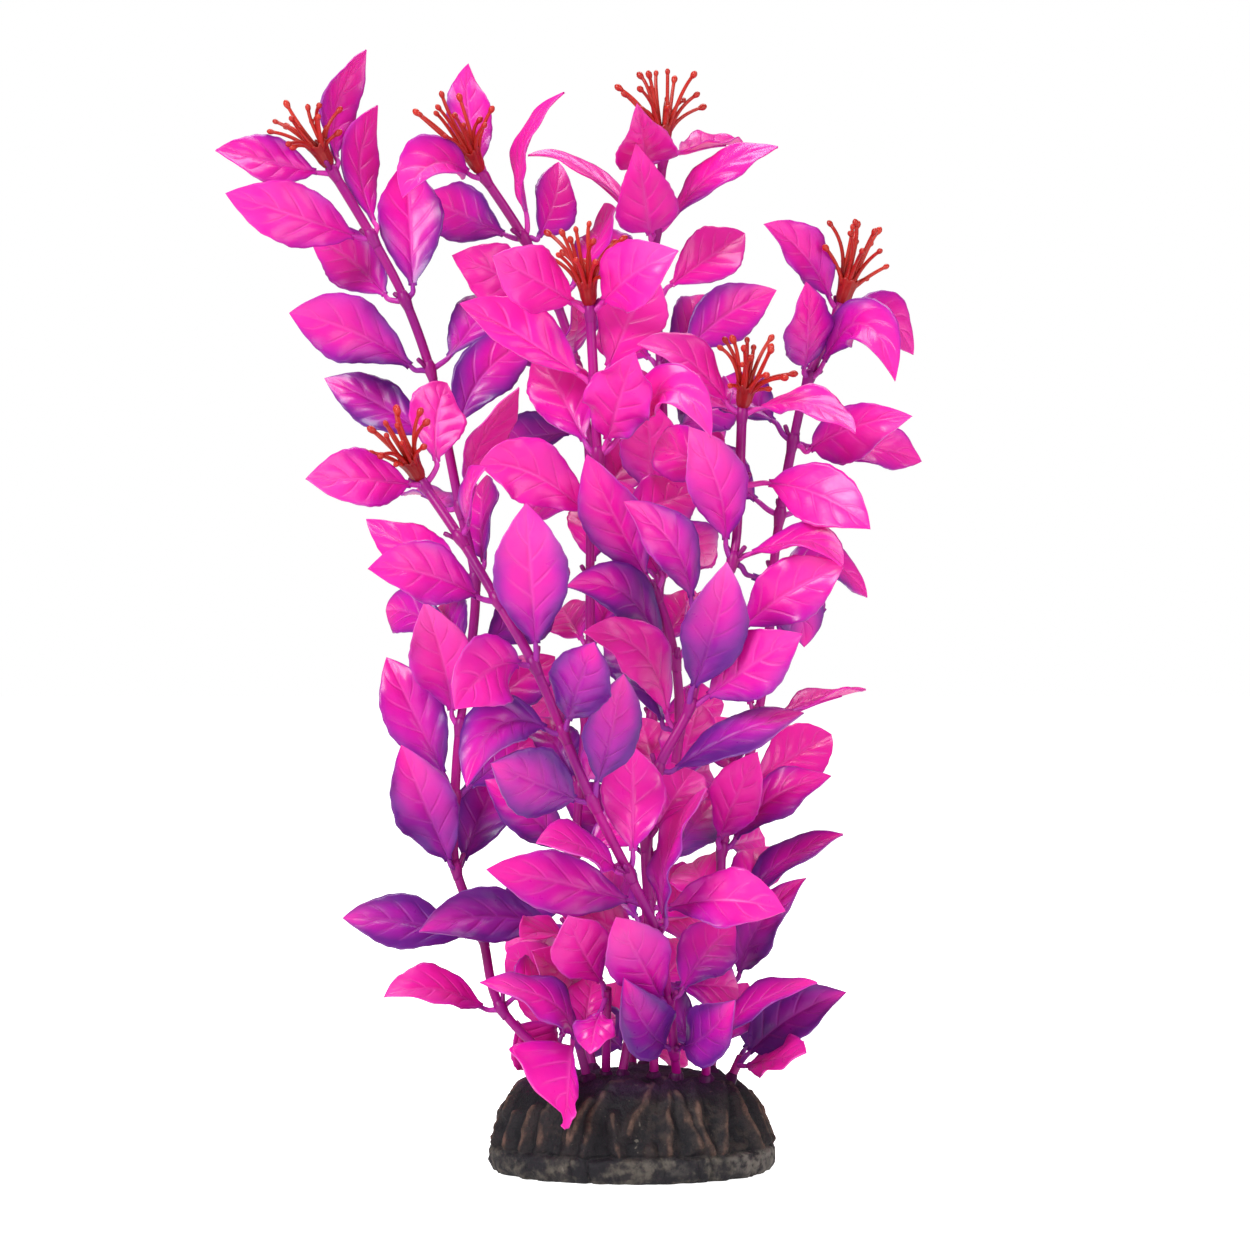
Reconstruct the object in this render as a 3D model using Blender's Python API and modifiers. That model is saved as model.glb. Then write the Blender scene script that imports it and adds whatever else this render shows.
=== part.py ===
"""A plastic aquarium ludwigia: seven tall stems and five short shoots set in a cast
base, with leaf tiers threaded on the stems and a tuft of filaments on each tip.
Metres, +Z up. The origin is the middle of the base's underside."""

import math

import bmesh
import bpy
import numpy as np
from mathutils import Vector
from mathutils.bvhtree import BVHTree

# ---------------------------------------------------------------- layout
# The plant is set out on a front elevation: a sheet 1250 units square, seen
# from EYE, where one unit is 0.268 mm at the middle of the base. Depths are
# in millimetres, + away from the eye. The same table drives every leaf.
EYE = Vector((-0.001876, -0.92, 0.1455))
SHEET = 3432.8            # sheet units per unit of (distance / offset)
STEM_R = 0.00165          # stem radius
HUB_R = 0.00215           # radius of the collar at a whorl
HUB_UP = 0.0024           # collar above the whorl's centre
BLADE_W = 0.0178          # usual width of a blade
BLADE_L = 0.0355          # usual length, collar to tip
PETIOLE = 0.0032          # usual length of the bare petiole

# Whorls of each stem from the top down: (u, v, depth mm). The last is the foot.
STEMS = {
    "a": [(333, 172, -3), (372, 237, -2), (405, 300, -1), (430, 369, 0), (446, 438, 1),
          (460, 508, 2), (475, 580, 3), (471, 650, 4), (460, 726, 4), (455, 797, 4),
          (456, 868, 4), (482, 936, 4), (501, 1008, 2), (566, 1074, -3)],
    "b": [(484, 177, 16), (524, 238, 20), (556, 302, 23), (577, 368, 24), (588, 438, 24),
          (590, 508, 23), (590, 578, 22), (590, 648, 21), (586, 718, 19), (580, 788, 17),
          (574, 858, 15), (570, 928, 11), (580, 1000, 7), (592, 1064, 3)],
    "c": [(663, 158, 36), (656, 232, 40), (656, 300, 43), (661, 368, 44), (664, 438, 43),
          (664, 508, 41), (660, 578, 39), (656, 648, 36), (652, 718, 33), (650, 788, 29),
          (648, 858, 25), (646, 928, 21), (645, 998, 17), (645, 1062, 14)],
    "d": [(590, 312, -28), (594, 384, -28), (598, 455, -27), (608, 527, -25), (654, 592, -21),
          (675, 660, -16), (679, 730, -12), (670, 800, -10), (657, 870, -9), (645, 940, -9),
          (634, 1005, -9), (624, 1063, -9)],
    "e": [(839, 310, 5), (809, 378, 6), (793, 442, 7), (780, 515, 8), (773, 574, 9),
          (768, 646, 10), (758, 717, 11), (742, 785, 12), (722, 850, 13), (724, 918, 12),
          (724, 987, 10), (712, 1062, 8)],
    "f": [(742, 414, -24), (739, 485, -27), (733, 560, -30), (706, 628, -33), (690, 706, -35),
          (658, 770, -35), (646, 840, -31), (649, 906, -26), (656, 975, -19), (654, 1063, -12)],
    "g": [(424, 485, -38), (460, 538, -44), (497, 600, -49), (534, 665, -53), (563, 733, -55),
          (592, 801, -53), (628, 872, -46), (657, 935, -36), (668, 1000, -24), (674, 1050, -15),
          (676, 1068, -11)],
}
# Leafy shoots set straight into the base: (u, v, depth) of the whorl and the foot.
SHOOTS = {
    "j": [(607, 996, -21), (606, 1064, -10)],
    "l": [(579, 1046, -15), (585, 1069, -13)],
    "m": [(706, 1058, -12), (706, 1070, -10)],
    "n": [(738, 1063, 0), (732, 1076, 0)],
    "o": [(632, 1052, 24), (633, 1068, 21)],
    "q": [(556, 1046, 21), (566, 1066, 16)],
}
# Flower tufts: the middle of the spread of filaments, on the sheet, and depth.
TUFTS = {
    "a": (305, 124, -8), "b": (455, 122, 8), "c": (661, 96, 35), "d": (583, 252, -34),
    "e": (858, 250, 2), "f": (752, 362, -30), "g": (397, 440, -44),
}
SPREAD_R = {"g": 0.0078}  # radius of the spread of filaments, where it isn't the usual
USUAL_SPREAD_R = 0.0098

# One row per leaf: whorl, tip on the sheet, lean (-1 at the eye, +1 away), and
# what differs from a usual leaf: base and mid on the sheet, width w in mm,
# roll in degrees about its length, bend in mm, twist, left and right half widths,
# p how violet it is, s how pale, k where it is full, size its length.
LEAVES = [
    # stem a, far left
    ("a1", (216, 150), -0.3, dict(base=(322, 173), mid=(270, 165), roll=38, w=16.5, p=.35)),
    ("a1", (369, 51), 0.3, dict(base=(338, 162), mid=(337, 106), roll=-45, w=15.5, p=.45, bend=0)),
    ("a2", (225, 193), -0.3, dict(base=(360, 238), roll=8, w=18, p=.3)),
    ("a2", (382, 107), 0.3, dict(base=(377, 227), mid=(361, 161), roll=-44, w=15.5, p=.3, bend=0)),
    ("a3", (308, 238), 0.5, dict(base=(388, 299), mid=(354, 262), roll=0, w=17, p=.45, k=.85)),
    ("a3", (406, 163), 0.3, dict(base=(413, 292), roll=5, w=19, p=.6)),
    ("a4", (289, 313), -0.3, dict(base=(415, 370), mid=(357, 333), roll=0, w=19.5, p=.6, k=1.3)),
    ("a4", (512, 288), 0.3, dict(base=(446, 360), roll=35, w=16, p=.7)),
    ("a5", (324, 378), 0.2, dict(base=(431, 440), mid=(380, 406), roll=10, w=15, p=.95)),
    ("a5", (545, 336), 0.2, dict(base=(459, 430), mid=(486, 373), roll=10, w=17.5, p=.8)),
    ("a6", (408, 491), 0.95, dict(base=(450, 510), roll=70, w=15, p=.5)),
    ("a6", (521, 391), -0.2, dict(base=(467, 492), mid=(483, 441), roll=-52, w=15.5, p=.1, s=.3, bend=0)),
    ("a7", (366, 519), 0.2, dict(base=(463, 572), mid=(414, 551), roll=25, w=15.5, p=.1, k=.85)),
    ("a7", (486, 474), 0.5, dict(base=(484, 566), roll=50, w=16, p=.5)),
    ("a8", (380, 611), 0.2, dict(base=(461, 647), mid=(420, 618), roll=10, w=14.5, p=.5, k=1.3)),
    ("a8", (560, 592), 0.6, dict(base=(481, 645), roll=0, w=17, p=.9)),
    ("a9", (424, 603), -0.4, dict(base=(452, 716), mid=(443, 657), roll=-8, w=18.5, p=.2, s=.9)),
    ("a9", (556, 655), 0.5, dict(base=(471, 718), roll=20, w=17, p=.5)),
    ("a10", (386, 656), 0.1, dict(base=(446, 779), roll=0, w=18, p=.5)),
    ("a10", (536, 736), 0.5, dict(base=(466, 790), roll=10, w=17, p=.8)),
    ("a11", (401, 745), -0.3, dict(base=(451, 866), roll=-5, w=18.8, p=.65, s=.4)),
    ("a11", (504, 764), 0.3, dict(base=(461, 866), roll=12, w=17.8, p=.7, s=.3)),
    ("a12", (343, 919), -0.1, dict(base=(474, 937), mid=(405, 925), roll=30, w=18, p=1., s=.2)),
    ("a12", (560, 884), 0.6, dict(base=(494, 930), roll=20, w=16, p=.8)),
    ("a13", (385, 991), -0.2, dict(base=(488, 1010), mid=(438, 991), roll=50, w=16.5, p=.0, s=.8, bend=.5)),
    ("a13", (548, 1064), 0.5, dict(base=(511, 1018), roll=10, w=17, p=.0, size=.6)),
    ("a13", (545, 972), 0.6, dict(base=(509, 1002), roll=0, w=15, p=.1)),
    # stem b, second from the left
    ("b1", (402, 197), -0.75, dict(base=(472, 176), mid=(433, 168), roll=38, w=17.5, p=.35)),
    ("b1", (468, 64), 0.4, dict(base=(483, 167), mid=(469, 113), roll=18, w=14, p=.3, bend=0, k=.85)),
    ("b2", (424, 196), 0.4, dict(base=(508, 236), roll=0, w=17.5, p=.6)),
    ("b2", (560, 88), -0.2, dict(base=(527, 218), mid=(521, 152), roll=73, w=14, p=.0, bend=0)),
    ("b2", (560, 160), 0.6, dict(base=(537, 240), mid=(552, 203), roll=-32, w=16, p=.5, bend=1, k=.8)),
    ("b3", (454, 254), -0.4, dict(base=(544, 298), roll=15, w=18, p=.0)),
    ("b3", (604, 204), 0.4, dict(base=(568, 292), mid=(597, 239), roll=57, w=15, p=.4, bend=0)),
    ("b4", (575, 300), -0.5, dict(base=(572, 356), roll=-45, w=14, p=.6)),
    ("b4", (510, 330), 0.6, dict(base=(565, 363), roll=0, w=16, p=.5)),
    ("b5", (491, 446), 0.4, dict(base=(574, 432), roll=25, w=16, p=1.)),
    ("b5", (650, 372), 0.4, dict(base=(600, 428), roll=0, w=16, p=.5)),
    ("b6", (522, 500), 0.5, dict(base=(578, 506), roll=20, w=15, p=.2)),
    ("b6", (640, 440), 0.3, dict(base=(600, 500), roll=0, w=16, p=.3)),
    ("b7", (600, 486), 0.3, dict(base=(592, 566), roll=10, w=17, p=.1)),
    ("b8", (628, 556), 0.3, dict(base=(597, 636), roll=20, w=16, p=.5)),
    ("b8", (560, 604), 0.4, dict(base=(583, 641), roll=0, w=16, p=.1)),
    ("b12", (421, 928), -0.5, dict(base=(556, 926), mid=(486, 919), roll=22, w=17, p=.95)),
    ("b12", (521, 937), -0.9, dict(base=(566, 936), roll=55, w=14, p=.0)),
    ("b13", (532, 951), -0.5, dict(base=(580, 988), roll=10, w=16, p=.1)),
    ("b13", (508, 948), 0.4, dict(base=(570, 998), roll=0, w=16, p=.0)),
    # stem c, at the back
    ("c1", (638, 107), -0.75, dict(base=(648, 168), roll=5, w=18.4, p=.0, s=.2, bend=0, k=.44)),
    ("c1", (746, 143), 0.7, dict(base=(675, 153), mid=(712, 143), roll=76, w=14, p=.0, bend=0)),
    ("c2", (637, 145), -0.6, dict(base=(651, 240), roll=8, w=19, p=.2, s=.2, k=.52)),
    ("c2", (778, 146), 0.1, dict(base=(668, 224), mid=(716, 170), roll=52, w=15.5, p=.2, bend=0)),
    ("c2", (528, 151), 0.1, dict(base=(643, 224), mid=(588, 171), roll=75, w=15, p=.0, bend=0)),
    ("c3", (744, 234), 0.4, dict(base=(667, 288), roll=8, w=17, p=.1)),
    ("c3", (590, 232), 0.5, dict(base=(646, 290), roll=0, w=16, p=.5)),
    ("c4", (777, 290), 0.2, dict(base=(684, 352), mid=(726, 316), roll=5, w=17.5, p=.5, k=.85)),
    ("c4", (724, 440), 0.5, dict(base=(670, 380), roll=10, w=15, p=1.)),
    ("c4", (600, 320), 0.4, dict(base=(652, 360), roll=0, w=16, p=.3)),
    ("c4", (712, 296), 0.7, dict(base=(670, 356), roll=0, w=16, p=.6)),
    ("c5", (740, 392), 0.5, dict(base=(676, 430), roll=0, w=16, p=.6)),
    ("c6", (645, 398), -0.5, dict(base=(655, 497), roll=6, w=19, p=.35)),
    ("c6", (712, 424), 0.3, dict(base=(674, 498), roll=10, w=17, p=.1)),
    ("c7", (708, 536), 0.4, dict(base=(669, 572), roll=0, w=16, p=.1)),
    ("c7", (616, 520), 0.4, dict(base=(651, 572), roll=0, w=16, p=.6)),
    ("c8", (694, 592), 0.4, dict(base=(663, 642), roll=0, w=16, p=.3)),
    ("c8", (618, 596), 0.4, dict(base=(648, 642), roll=0, w=16, p=.1)),
    ("c12", (704, 872), 0.4, dict(base=(655, 920), roll=0, w=17, p=.1)),
    ("c12", (600, 866), 0.4, dict(base=(638, 920), roll=0, w=16, p=.5)),
    ("c13", (694, 940), 0.4, dict(base=(653, 990), roll=0, w=16, p=.2)),
    # stem d, front middle
    ("d1", (492, 256), -0.5, dict(base=(577, 305), roll=15, w=18.5, p=.0, s=.3)),
    ("d1", (677, 250), -0.5, dict(base=(601, 304), roll=20, w=19.5, p=.0, s=.5, bend=4)),
    ("d2", (460, 301), -0.1, dict(base=(584, 378), roll=22, w=18.5, p=.0, lh=.6, rh=1.15)),
    ("d2", (652, 268), 0.5, dict(base=(606, 372), roll=0, w=20, p=.05)),
    ("d3", (538, 352), 0.3, dict(base=(587, 446), roll=10, w=18, p=.1)),
    ("d3", (634, 354), -0.4, dict(base=(606, 444), roll=5, w=19, p=.25, ruf=1.)),
    ("d3", (711, 438), -0.2, dict(base=(612, 446), mid=(672, 393), roll=35, w=15, p=.1, s=.3)),
    ("d4", (479, 466), -0.3, dict(base=(594, 520), mid=(531, 474), roll=10, w=18.5, p=.1)),
    ("d4", (697, 491), 0.3, dict(base=(620, 520), roll=20, w=17, p=.3)),
    ("d5", (586, 455), -0.3, dict(base=(648, 580), roll=-15, w=17.5, p=.6)),
    ("d5", (609, 477), 0.1, dict(base=(662, 578), roll=-20, w=16, p=.3)),
    ("d6", (566, 587), -0.1, dict(base=(663, 654), mid=(622, 595), roll=25, w=15.5, p=.9)),
    ("d6", (730, 592), 0.3, dict(base=(684, 650), roll=0, w=16, p=.3)),
    ("d7", (583, 632), -0.1, dict(base=(668, 720), mid=(638, 652), roll=25, w=16, p=.1)),
    ("d7", (601, 643), 0.3, dict(base=(664, 728), mid=(640, 672), roll=10, w=16, p=1.)),
    ("d8", (700, 700), 0.3, dict(base=(676, 790), roll=10, w=17, p=.2)),
    ("d8", (640, 715), 0.3, dict(base=(662, 790), roll=0, w=17, p=.1)),
    ("d9", (715, 800), 0.3, dict(base=(666, 862), roll=10, w=17, p=.8)),
    ("d10", (560, 905), -0.2, dict(base=(634, 938), roll=10, w=17, p=.0)),
    # stem e, right
    ("e1", (766, 223), -0.4, dict(base=(832, 303), mid=(805, 257), roll=32, w=15, p=.45, bend=.5)),
    ("e1", (914, 355), 0.3, dict(base=(849, 311), mid=(886, 317), roll=46, w=15.5, p=.3, bend=.5)),
    ("e2", (807, 282), -0.2, dict(base=(804, 373), roll=-38, w=17, p=.55, k=.8)),
    ("e2", (897, 379), -0.2, dict(base=(819, 371), mid=(865, 326), roll=28, w=16, p=.5)),
    ("e3", (718, 378), 0.5, dict(base=(777, 424), roll=20, w=16, p=.8)),
    ("e3", (911, 415), -0.3, dict(base=(806, 452), mid=(855, 428), roll=15, w=16.5, p=.4, s=.3, lh=.8, rh=1.25, k=.8)),
    ("e3", (923, 461), 0.4, dict(base=(806, 446), mid=(868, 450), roll=32, w=15.5, p=.4)),
    ("e4", (690, 448), 0.4, dict(base=(760, 503), roll=10, w=16, p=.7)),
    ("e4", (860, 492), 0.4, dict(base=(792, 513), roll=10, w=16, p=.4)),
    ("e5", (873, 596), 0.2, dict(base=(783, 565), mid=(827, 562), roll=46, w=15, p=.5, bend=0)),
    ("e6", (812, 580), 0.3, dict(base=(776, 640), roll=0, w=16, p=.5)),
    ("e7", (866, 688), 0.0, dict(base=(769, 720), mid=(821, 698), roll=78, w=14.5, p=.0, bend=0)),
    ("e7", (735, 640), 0.3, dict(base=(752, 708), roll=0, w=17, p=.0)),
    ("e8", (832, 734), 0.3, dict(base=(752, 783), roll=8, w=17.5, p=.0)),
    ("e8", (716, 716), 0.5, dict(base=(735, 776), roll=0, w=16, p=.2)),
    ("e9", (831, 777), -0.1, dict(base=(732, 844), mid=(775, 798), roll=32, w=15, p=.5, bend=.5)),
    ("e9", (757, 752), -0.1, dict(base=(718, 842), roll=15, w=16, p=.1)),
    ("e10", (843, 834), 0.0, dict(base=(738, 910), mid=(783, 861), roll=53, w=14.5, p=.6, bend=0)),
    ("e10", (780, 846), 0.4, dict(base=(728, 905), roll=20, w=15, p=.1)),
    ("e10", (690, 858), 0.5, dict(base=(716, 908), roll=0, w=17, p=.0)),
    ("e11", (805, 877), -0.1, dict(base=(738, 978), mid=(763, 925), roll=32, w=15.5, p=.6, k=.7)),
    # stem f, right front
    ("f1", (639, 342), -0.4, dict(base=(729, 407), mid=(689, 366), roll=44, w=15.5, p=.0, s=.8)),
    ("f1", (692, 398), 0.9, dict(base=(732, 410), roll=40, w=15, p=.3)),
    ("f1", (855, 434), -0.1, dict(base=(754, 410), mid=(808, 403), roll=58, w=15.5, p=.0, bend=0)),
    ("f2", (870, 528), -0.3, dict(base=(763, 483), mid=(820, 496), roll=8, w=17.5, p=.1)),
    ("f2", (655, 440), 0.5, dict(base=(729, 480), roll=0, w=16, p=.4)),
    ("f3", (690, 427), -0.4, dict(base=(726, 546), mid=(716, 483), roll=10, w=17, p=.4, s=.6)),
    ("f3", (842, 567), -0.1, dict(base=(744, 556), mid=(803, 540), roll=60, w=15.5, p=.15, bend=0)),
    ("f3", (804, 646), 0.55, dict(base=(746, 574), mid=(790, 600), roll=5, w=16, p=.9)),
    ("f4", (623, 502), -0.3, dict(base=(692, 604), mid=(670, 545), roll=25, w=15.5, p=.5)),
    ("f4", (844, 566), -0.3, dict(base=(738, 632), mid=(790, 592), roll=5, w=18, p=.2)),
    ("f5", (727, 564), -0.45, dict(base=(691, 692), mid=(714, 628), roll=-5, w=18, p=.7, s=.8)),
    ("f5", (800, 634), -0.1, dict(base=(704, 699), roll=10, w=18.5, p=.3)),
    ("f6", (804, 714), -0.1, dict(base=(670, 772), mid=(736, 735), roll=50, w=17, p=.9, s=.2, bend=.5)),
    ("f7", (694, 768), 0.4, dict(base=(654, 832), roll=10, w=16, p=.1)),
    ("f8", (487, 868), -0.3, dict(base=(634, 902), roll=22, w=18.5, p=.3)),
    ("f8", (785, 910), -0.3, dict(base=(664, 910), mid=(722, 902), roll=18, w=17.2, p=.1, k=1.2)),
    ("f9", (742, 988), 0.05, dict(base=(670, 985), roll=15, w=15, p=.3, size=.8)),
    # stem g, the long front stem
    ("g1", (306, 478), -0.3, dict(base=(415, 485), mid=(361, 482), roll=25, w=17.5, p=.2, s=.7)),
    ("g1", (447, 383), 0.4, dict(base=(437, 466), mid=(435, 421), roll=-18, w=17.2, p=.1)),
    ("g2", (481, 466), -0.6, dict(base=(467, 528), roll=72, w=13, p=.4)),
    ("g3", (369, 567), -0.3, dict(base=(482, 599), mid=(426, 576), roll=20, w=17.5, p=.35, s=.5)),
    ("g3", (562, 556), 0.4, dict(base=(508, 596), roll=0, w=15, p=.3)),
    ("g4", (526, 503), -0.2, dict(base=(536, 650), roll=0, w=20.5, p=.6, s=.6)),
    ("g4", (456, 709), -0.6, dict(base=(524, 665), mid=(484, 672), roll=-12, w=20, p=.2)),
    ("g5", (595, 641), -0.2, dict(base=(567, 724), roll=8, w=17.5, p=.8)),
    ("g5", (466, 787), -0.4, dict(base=(553, 733), mid=(500, 729), roll=30, w=17, p=.8, s=.3)),
    ("g6", (492, 764), -0.4, dict(base=(580, 801), roll=0, w=19.5, p=.8)),
    ("g6", (623, 673), -0.4, dict(base=(596, 788), roll=-22, w=16.5, p=.8, s=.2)),
    ("g7", (537, 840), -0.5, dict(base=(618, 872), mid=(580, 850), roll=55, w=16, p=.2, s=.4)),
    ("g7", (632, 745), 0.1, dict(base=(633, 858), roll=5, w=18, p=.1)),
    ("g8", (706, 787), -0.1, dict(base=(666, 924), mid=(667, 857), roll=62, w=14, p=.3, bend=0)),
    ("g9", (736, 926), 0.1, dict(base=(680, 994), mid=(704, 955), roll=5, w=17, p=.3)),
    ("g9", (616, 917), -0.45, dict(base=(663, 1001), roll=0, w=18.5, p=.3, s=.5, k=1.15)),
    ("g10", (624, 978), -0.1, dict(base=(668, 1047), mid=(640, 1020), roll=15, w=17, p=.9, k=.8)),
    ("g10", (735, 1000), -0.1, dict(base=(681, 1047), mid=(712, 1032), roll=20, w=17, p=.8, k=.8)),
    # leafy shoots in the base
    ("j1", (568, 915), -0.7, dict(base=(603, 984), mid=(581, 949), roll=5, w=17.2, p=.15, s=.4, k=1.2)),
    ("j1", (590, 1054), -0.3, dict(base=(603, 1006), roll=20, w=12, p=.1, size=.5)),
    ("l1", (480, 982), -0.3, dict(base=(575, 1042), mid=(545, 1003), roll=45, w=15, p=.4, s=.4)),
    ("l1", (565, 1127), -0.45, dict(base=(573, 1037), roll=0, w=18.5, p=.0, lh=.25, rh=1.6, torn=1., bend=0, k=.78)),
    ("l1", (594, 972), 0.05, dict(base=(582, 1040), roll=0, w=13, p=.0, size=.62)),
    ("m1", (640, 978), 0.3, dict(base=(702, 1054), roll=10, w=14, p=.8)),
    ("m1", (748, 982), 0.2, dict(base=(712, 1052), roll=5, w=15, p=.25, size=.7)),
    ("m1", (817, 981), -0.2, dict(base=(711, 1050), mid=(754, 1004), roll=60, w=15, p=.5, s=.2, bend=0)),
    ("n1", (846, 991), -0.1, dict(base=(746, 1056), mid=(792, 1020), roll=26, w=18, p=1., k=.8)),
    ("n1", (782, 1000), 0.1, dict(base=(743, 1052), roll=0, w=17, p=.9, k=.75)),
    ("n1", (806, 1052), -0.7, dict(base=(742, 1066), mid=(776, 1058), roll=56, w=15, p=.0, bend=0)),
    ("o1", (598, 984), 0.3, dict(base=(636, 1046), roll=0, w=17, p=.1)),
    ("o1", (668, 972), 0.5, dict(base=(643, 1044), roll=0, w=17, p=.0)),
    ("o1", (690, 1040), 0.5, dict(base=(646, 1050), roll=0, w=15, p=.0)),
    ("o1", (584, 1018), 0.2, dict(base=(625, 1050), roll=0, w=17, p=1., k=.8)),
    ("q1", (538, 968), 0.7, dict(base=(553, 1042), roll=0, w=16, p=.0)),
    ("q1", (584, 978), 0.4, dict(base=(560, 1040), roll=0, w=15, p=.3)),
    ("c6", (712, 566), 0.3, dict(base=(670, 514), roll=0, w=16, p=.5)),
    ("a8", (438, 606), 0.3, dict(base=(467, 644), roll=0, w=15, p=.5, size=.8)),
    ("c9", (726, 704), 0.4, dict(base=(659, 715), roll=0, w=16, p=.3)),
    ("c10", (716, 768), 0.4, dict(base=(657, 784), roll=0, w=16, p=.6)),
    ("b9", (532, 698), 0.3, dict(base=(580, 714), roll=0, w=16, p=.4)),
    ("e9", (764, 838), 0.3, dict(base=(728, 847), roll=0, w=15, p=.2, size=.8)),
    ("c12", (702, 914), 0.4, dict(base=(652, 925), roll=0, w=15, p=.1)),
    ("b12", (506, 950), 0.3, dict(base=(564, 930), roll=0, w=15, p=.1)),
]

# ---------------------------------------------------------------- geometry
def at(u, v, y):
    """The point at depth y that shows at (u, v) on the sheet."""
    d = y - EYE.y
    return Vector((EYE.x + (u - 625.0) / SHEET * d, y, EYE.z - (v - 625.0) / SHEET * d))


def on_sheet(p):
    d = p.y - EYE.y
    return (625.0 + (p.x - EYE.x) / d * SHEET, 625.0 + (EYE.z - p.z) / d * SHEET)


def smooth_path(points, steps):
    """Catmull-Rom points through the given ones, steps to a span."""
    if steps < 2:
        return list(points)
    out = []
    n = len(points)
    for i in range(n - 1):
        p0 = points[max(i - 1, 0)]
        p1, p2 = points[i], points[i + 1]
        p3 = points[min(i + 2, n - 1)]
        for k in range(steps):
            t = k / steps
            out.append(0.5 * ((2 * p1) + (p2 - p0) * t + (2 * p0 - 5 * p1 + 4 * p2 - p3) * t * t
                              + (3 * p1 - p0 - 3 * p2 + p3) * t ** 3))
    out.append(points[-1].copy())
    return out


def stem_points(row):
    return [at(u, v, d * 0.001) for u, v, d in row]


PATHS = {k: stem_points(row) for k, row in {**STEMS, **SHOOTS}.items()}


def bezier(a, c, b, t):
    return a * (1 - t) ** 2 + c * (2 * t * (1 - t)) + b * t * t


class Leaf:
    """A leaf between its base and tip on the sheet. depth and bow are what may give
    when leaves spring clear of each other; the outline on the sheet stays."""

    def __init__(self, name, whorl, tip, lean, base, mid=None, roll=0., w=17., bend=None,
                 twist=0., lh=1., rh=1., p=0., s=0., ruf=0., torn=0., size=1., k=1., depth=None):
        self.name, self.whorl, self.tip, self.base, self.mid = name, whorl, tip, base, mid
        stem, index = whorl
        self.hub = PATHS[stem][index]
        y0 = self.hub.y
        flat = (at(*tip, y0) - at(*base, y0)).length
        lean = max(-0.97, min(0.97, lean))
        # The stalk leaves the hub's skin in front of the stem, beside it or behind it.
        path = PATHS[stem]
        run = path[max(index - 1, 0)] - path[min(index + 1, len(path) - 1)]
        off = at(*base, y0) - self.hub
        aside = abs(off.x * run.z - off.z * run.x) / math.hypot(run.x, run.z)
        out = max(abs(lean) * 0.002, math.sqrt(max(0., 0.0025 ** 2 - aside ** 2)))
        self.y0 = y0 + (-out if lean < 0 else out)
        self.filler = depth is not None
        if self.filler:
            self.y0 = y0 + out * (-1 if depth < 0 else 1)
        reach = flat * lean / math.sqrt(1 - lean * lean) if depth is None else depth
        if depth is None:
            # A leaf that shows short is a full leaf that points to or from the eye.
            full = size * BLADE_L * (0.97 + 0.05 * math.sin(7.3 * tip[0] + 3.1 * tip[1]))
            deep = 0.9 * math.sqrt(max(0., full ** 2 - flat ** 2))
            reach = max(abs(reach), deep) * (-1 if lean < 0 else 1)
        most = math.sqrt(max(0.047 ** 2 - flat ** 2, 1e-6))
        self.reach = max(-most, min(most, reach))
        self.most = max(most, abs(self.reach))
        self.start_reach = self.reach
        self.bow = 0.
        self.roll, self.w = roll, w * 0.00094
        self.bend = (1.6 if bend is None else bend) * 0.001
        self.twist, self.lh, self.rh = twist, lh, rh
        self.p, self.s, self.ruf, self.torn, self.k = p, s, ruf, torn, k
        self.left = tip[0] < base[0]

    def midrib(self):
        """Base, control point and tip of the midrib."""
        b = at(*self.base, self.y0)
        t = at(*self.tip, self.y0 + self.reach)
        ymid = self.y0 + 0.5 * self.reach + self.bow
        if self.mid is None:
            u, v = on_sheet(0.5 * (b + t))
        else:
            u, v = self.mid
        m = at(u, v, ymid)
        along = (t - b).normalized()
        eye = (EYE - m).normalized()
        side = along.cross(eye).normalized()
        roll = math.radians(self.roll) * (-1 if self.left else 1)
        normal = (side.cross(along)).normalized()
        m = m + (normal * math.cos(roll) - side * math.sin(roll)) * self.bend
        return b, 2 * m - 0.5 * (b + t), t

    def width(self, s):
        return 0.5 * self.w * outline(max(s, 0.) ** self.k)

    def surface(self, rows, cols, detail=None, shrink=0.):
        """Rows of points across the leaf, from the collar to the tip, and the normals.
        rows are lengths along the leaf from 0 to 1, cols are places across from -1 to 1."""
        b, c, t = self.midrib()
        length = (t - b).length
        stalk = min(0.30, PETIOLE / length)
        side0 = None
        grid, normals = [], []
        for r in rows:
            p = bezier(b, c, t, r)
            along = (2 * (1 - r) * (c - b) + 2 * r * (t - c)).normalized()
            eye = (EYE - p).normalized()
            side = along.cross(eye)
            if side.length < 1e-5:
                side = side0 or Vector((1, 0, 0))
            side.normalize()
            side0 = side
            normal = side.cross(along).normalized()
            roll = math.radians(self.roll + self.twist * (r - 0.4)) * (-1 if self.left else 1)
            sd = side * math.cos(roll) + normal * math.sin(roll)
            nm = normal * math.cos(roll) - side * math.sin(roll)
            s = (r - stalk) / (1 - stalk)
            half = max(self.width(s), 0.00085 * (1 - 0.3 * max(0, r / stalk if stalk else 0)) if s < 0.06 else 0.)
            half = max(half - shrink, 0.0002) if r < 1 else 0.
            row = []
            for x in cols:
                h = half * (self.lh if x < 0 else self.rh)
                lift = CUP * h * x * x
                q = p + sd * (x * h) + nm * lift
                if detail is not None:
                    q += nm * detail(self, s, x, h)
                row.append(q)
            grid.append(row)
            normals.append(nm)
        return grid, normals


CUP = 0.10
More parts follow.
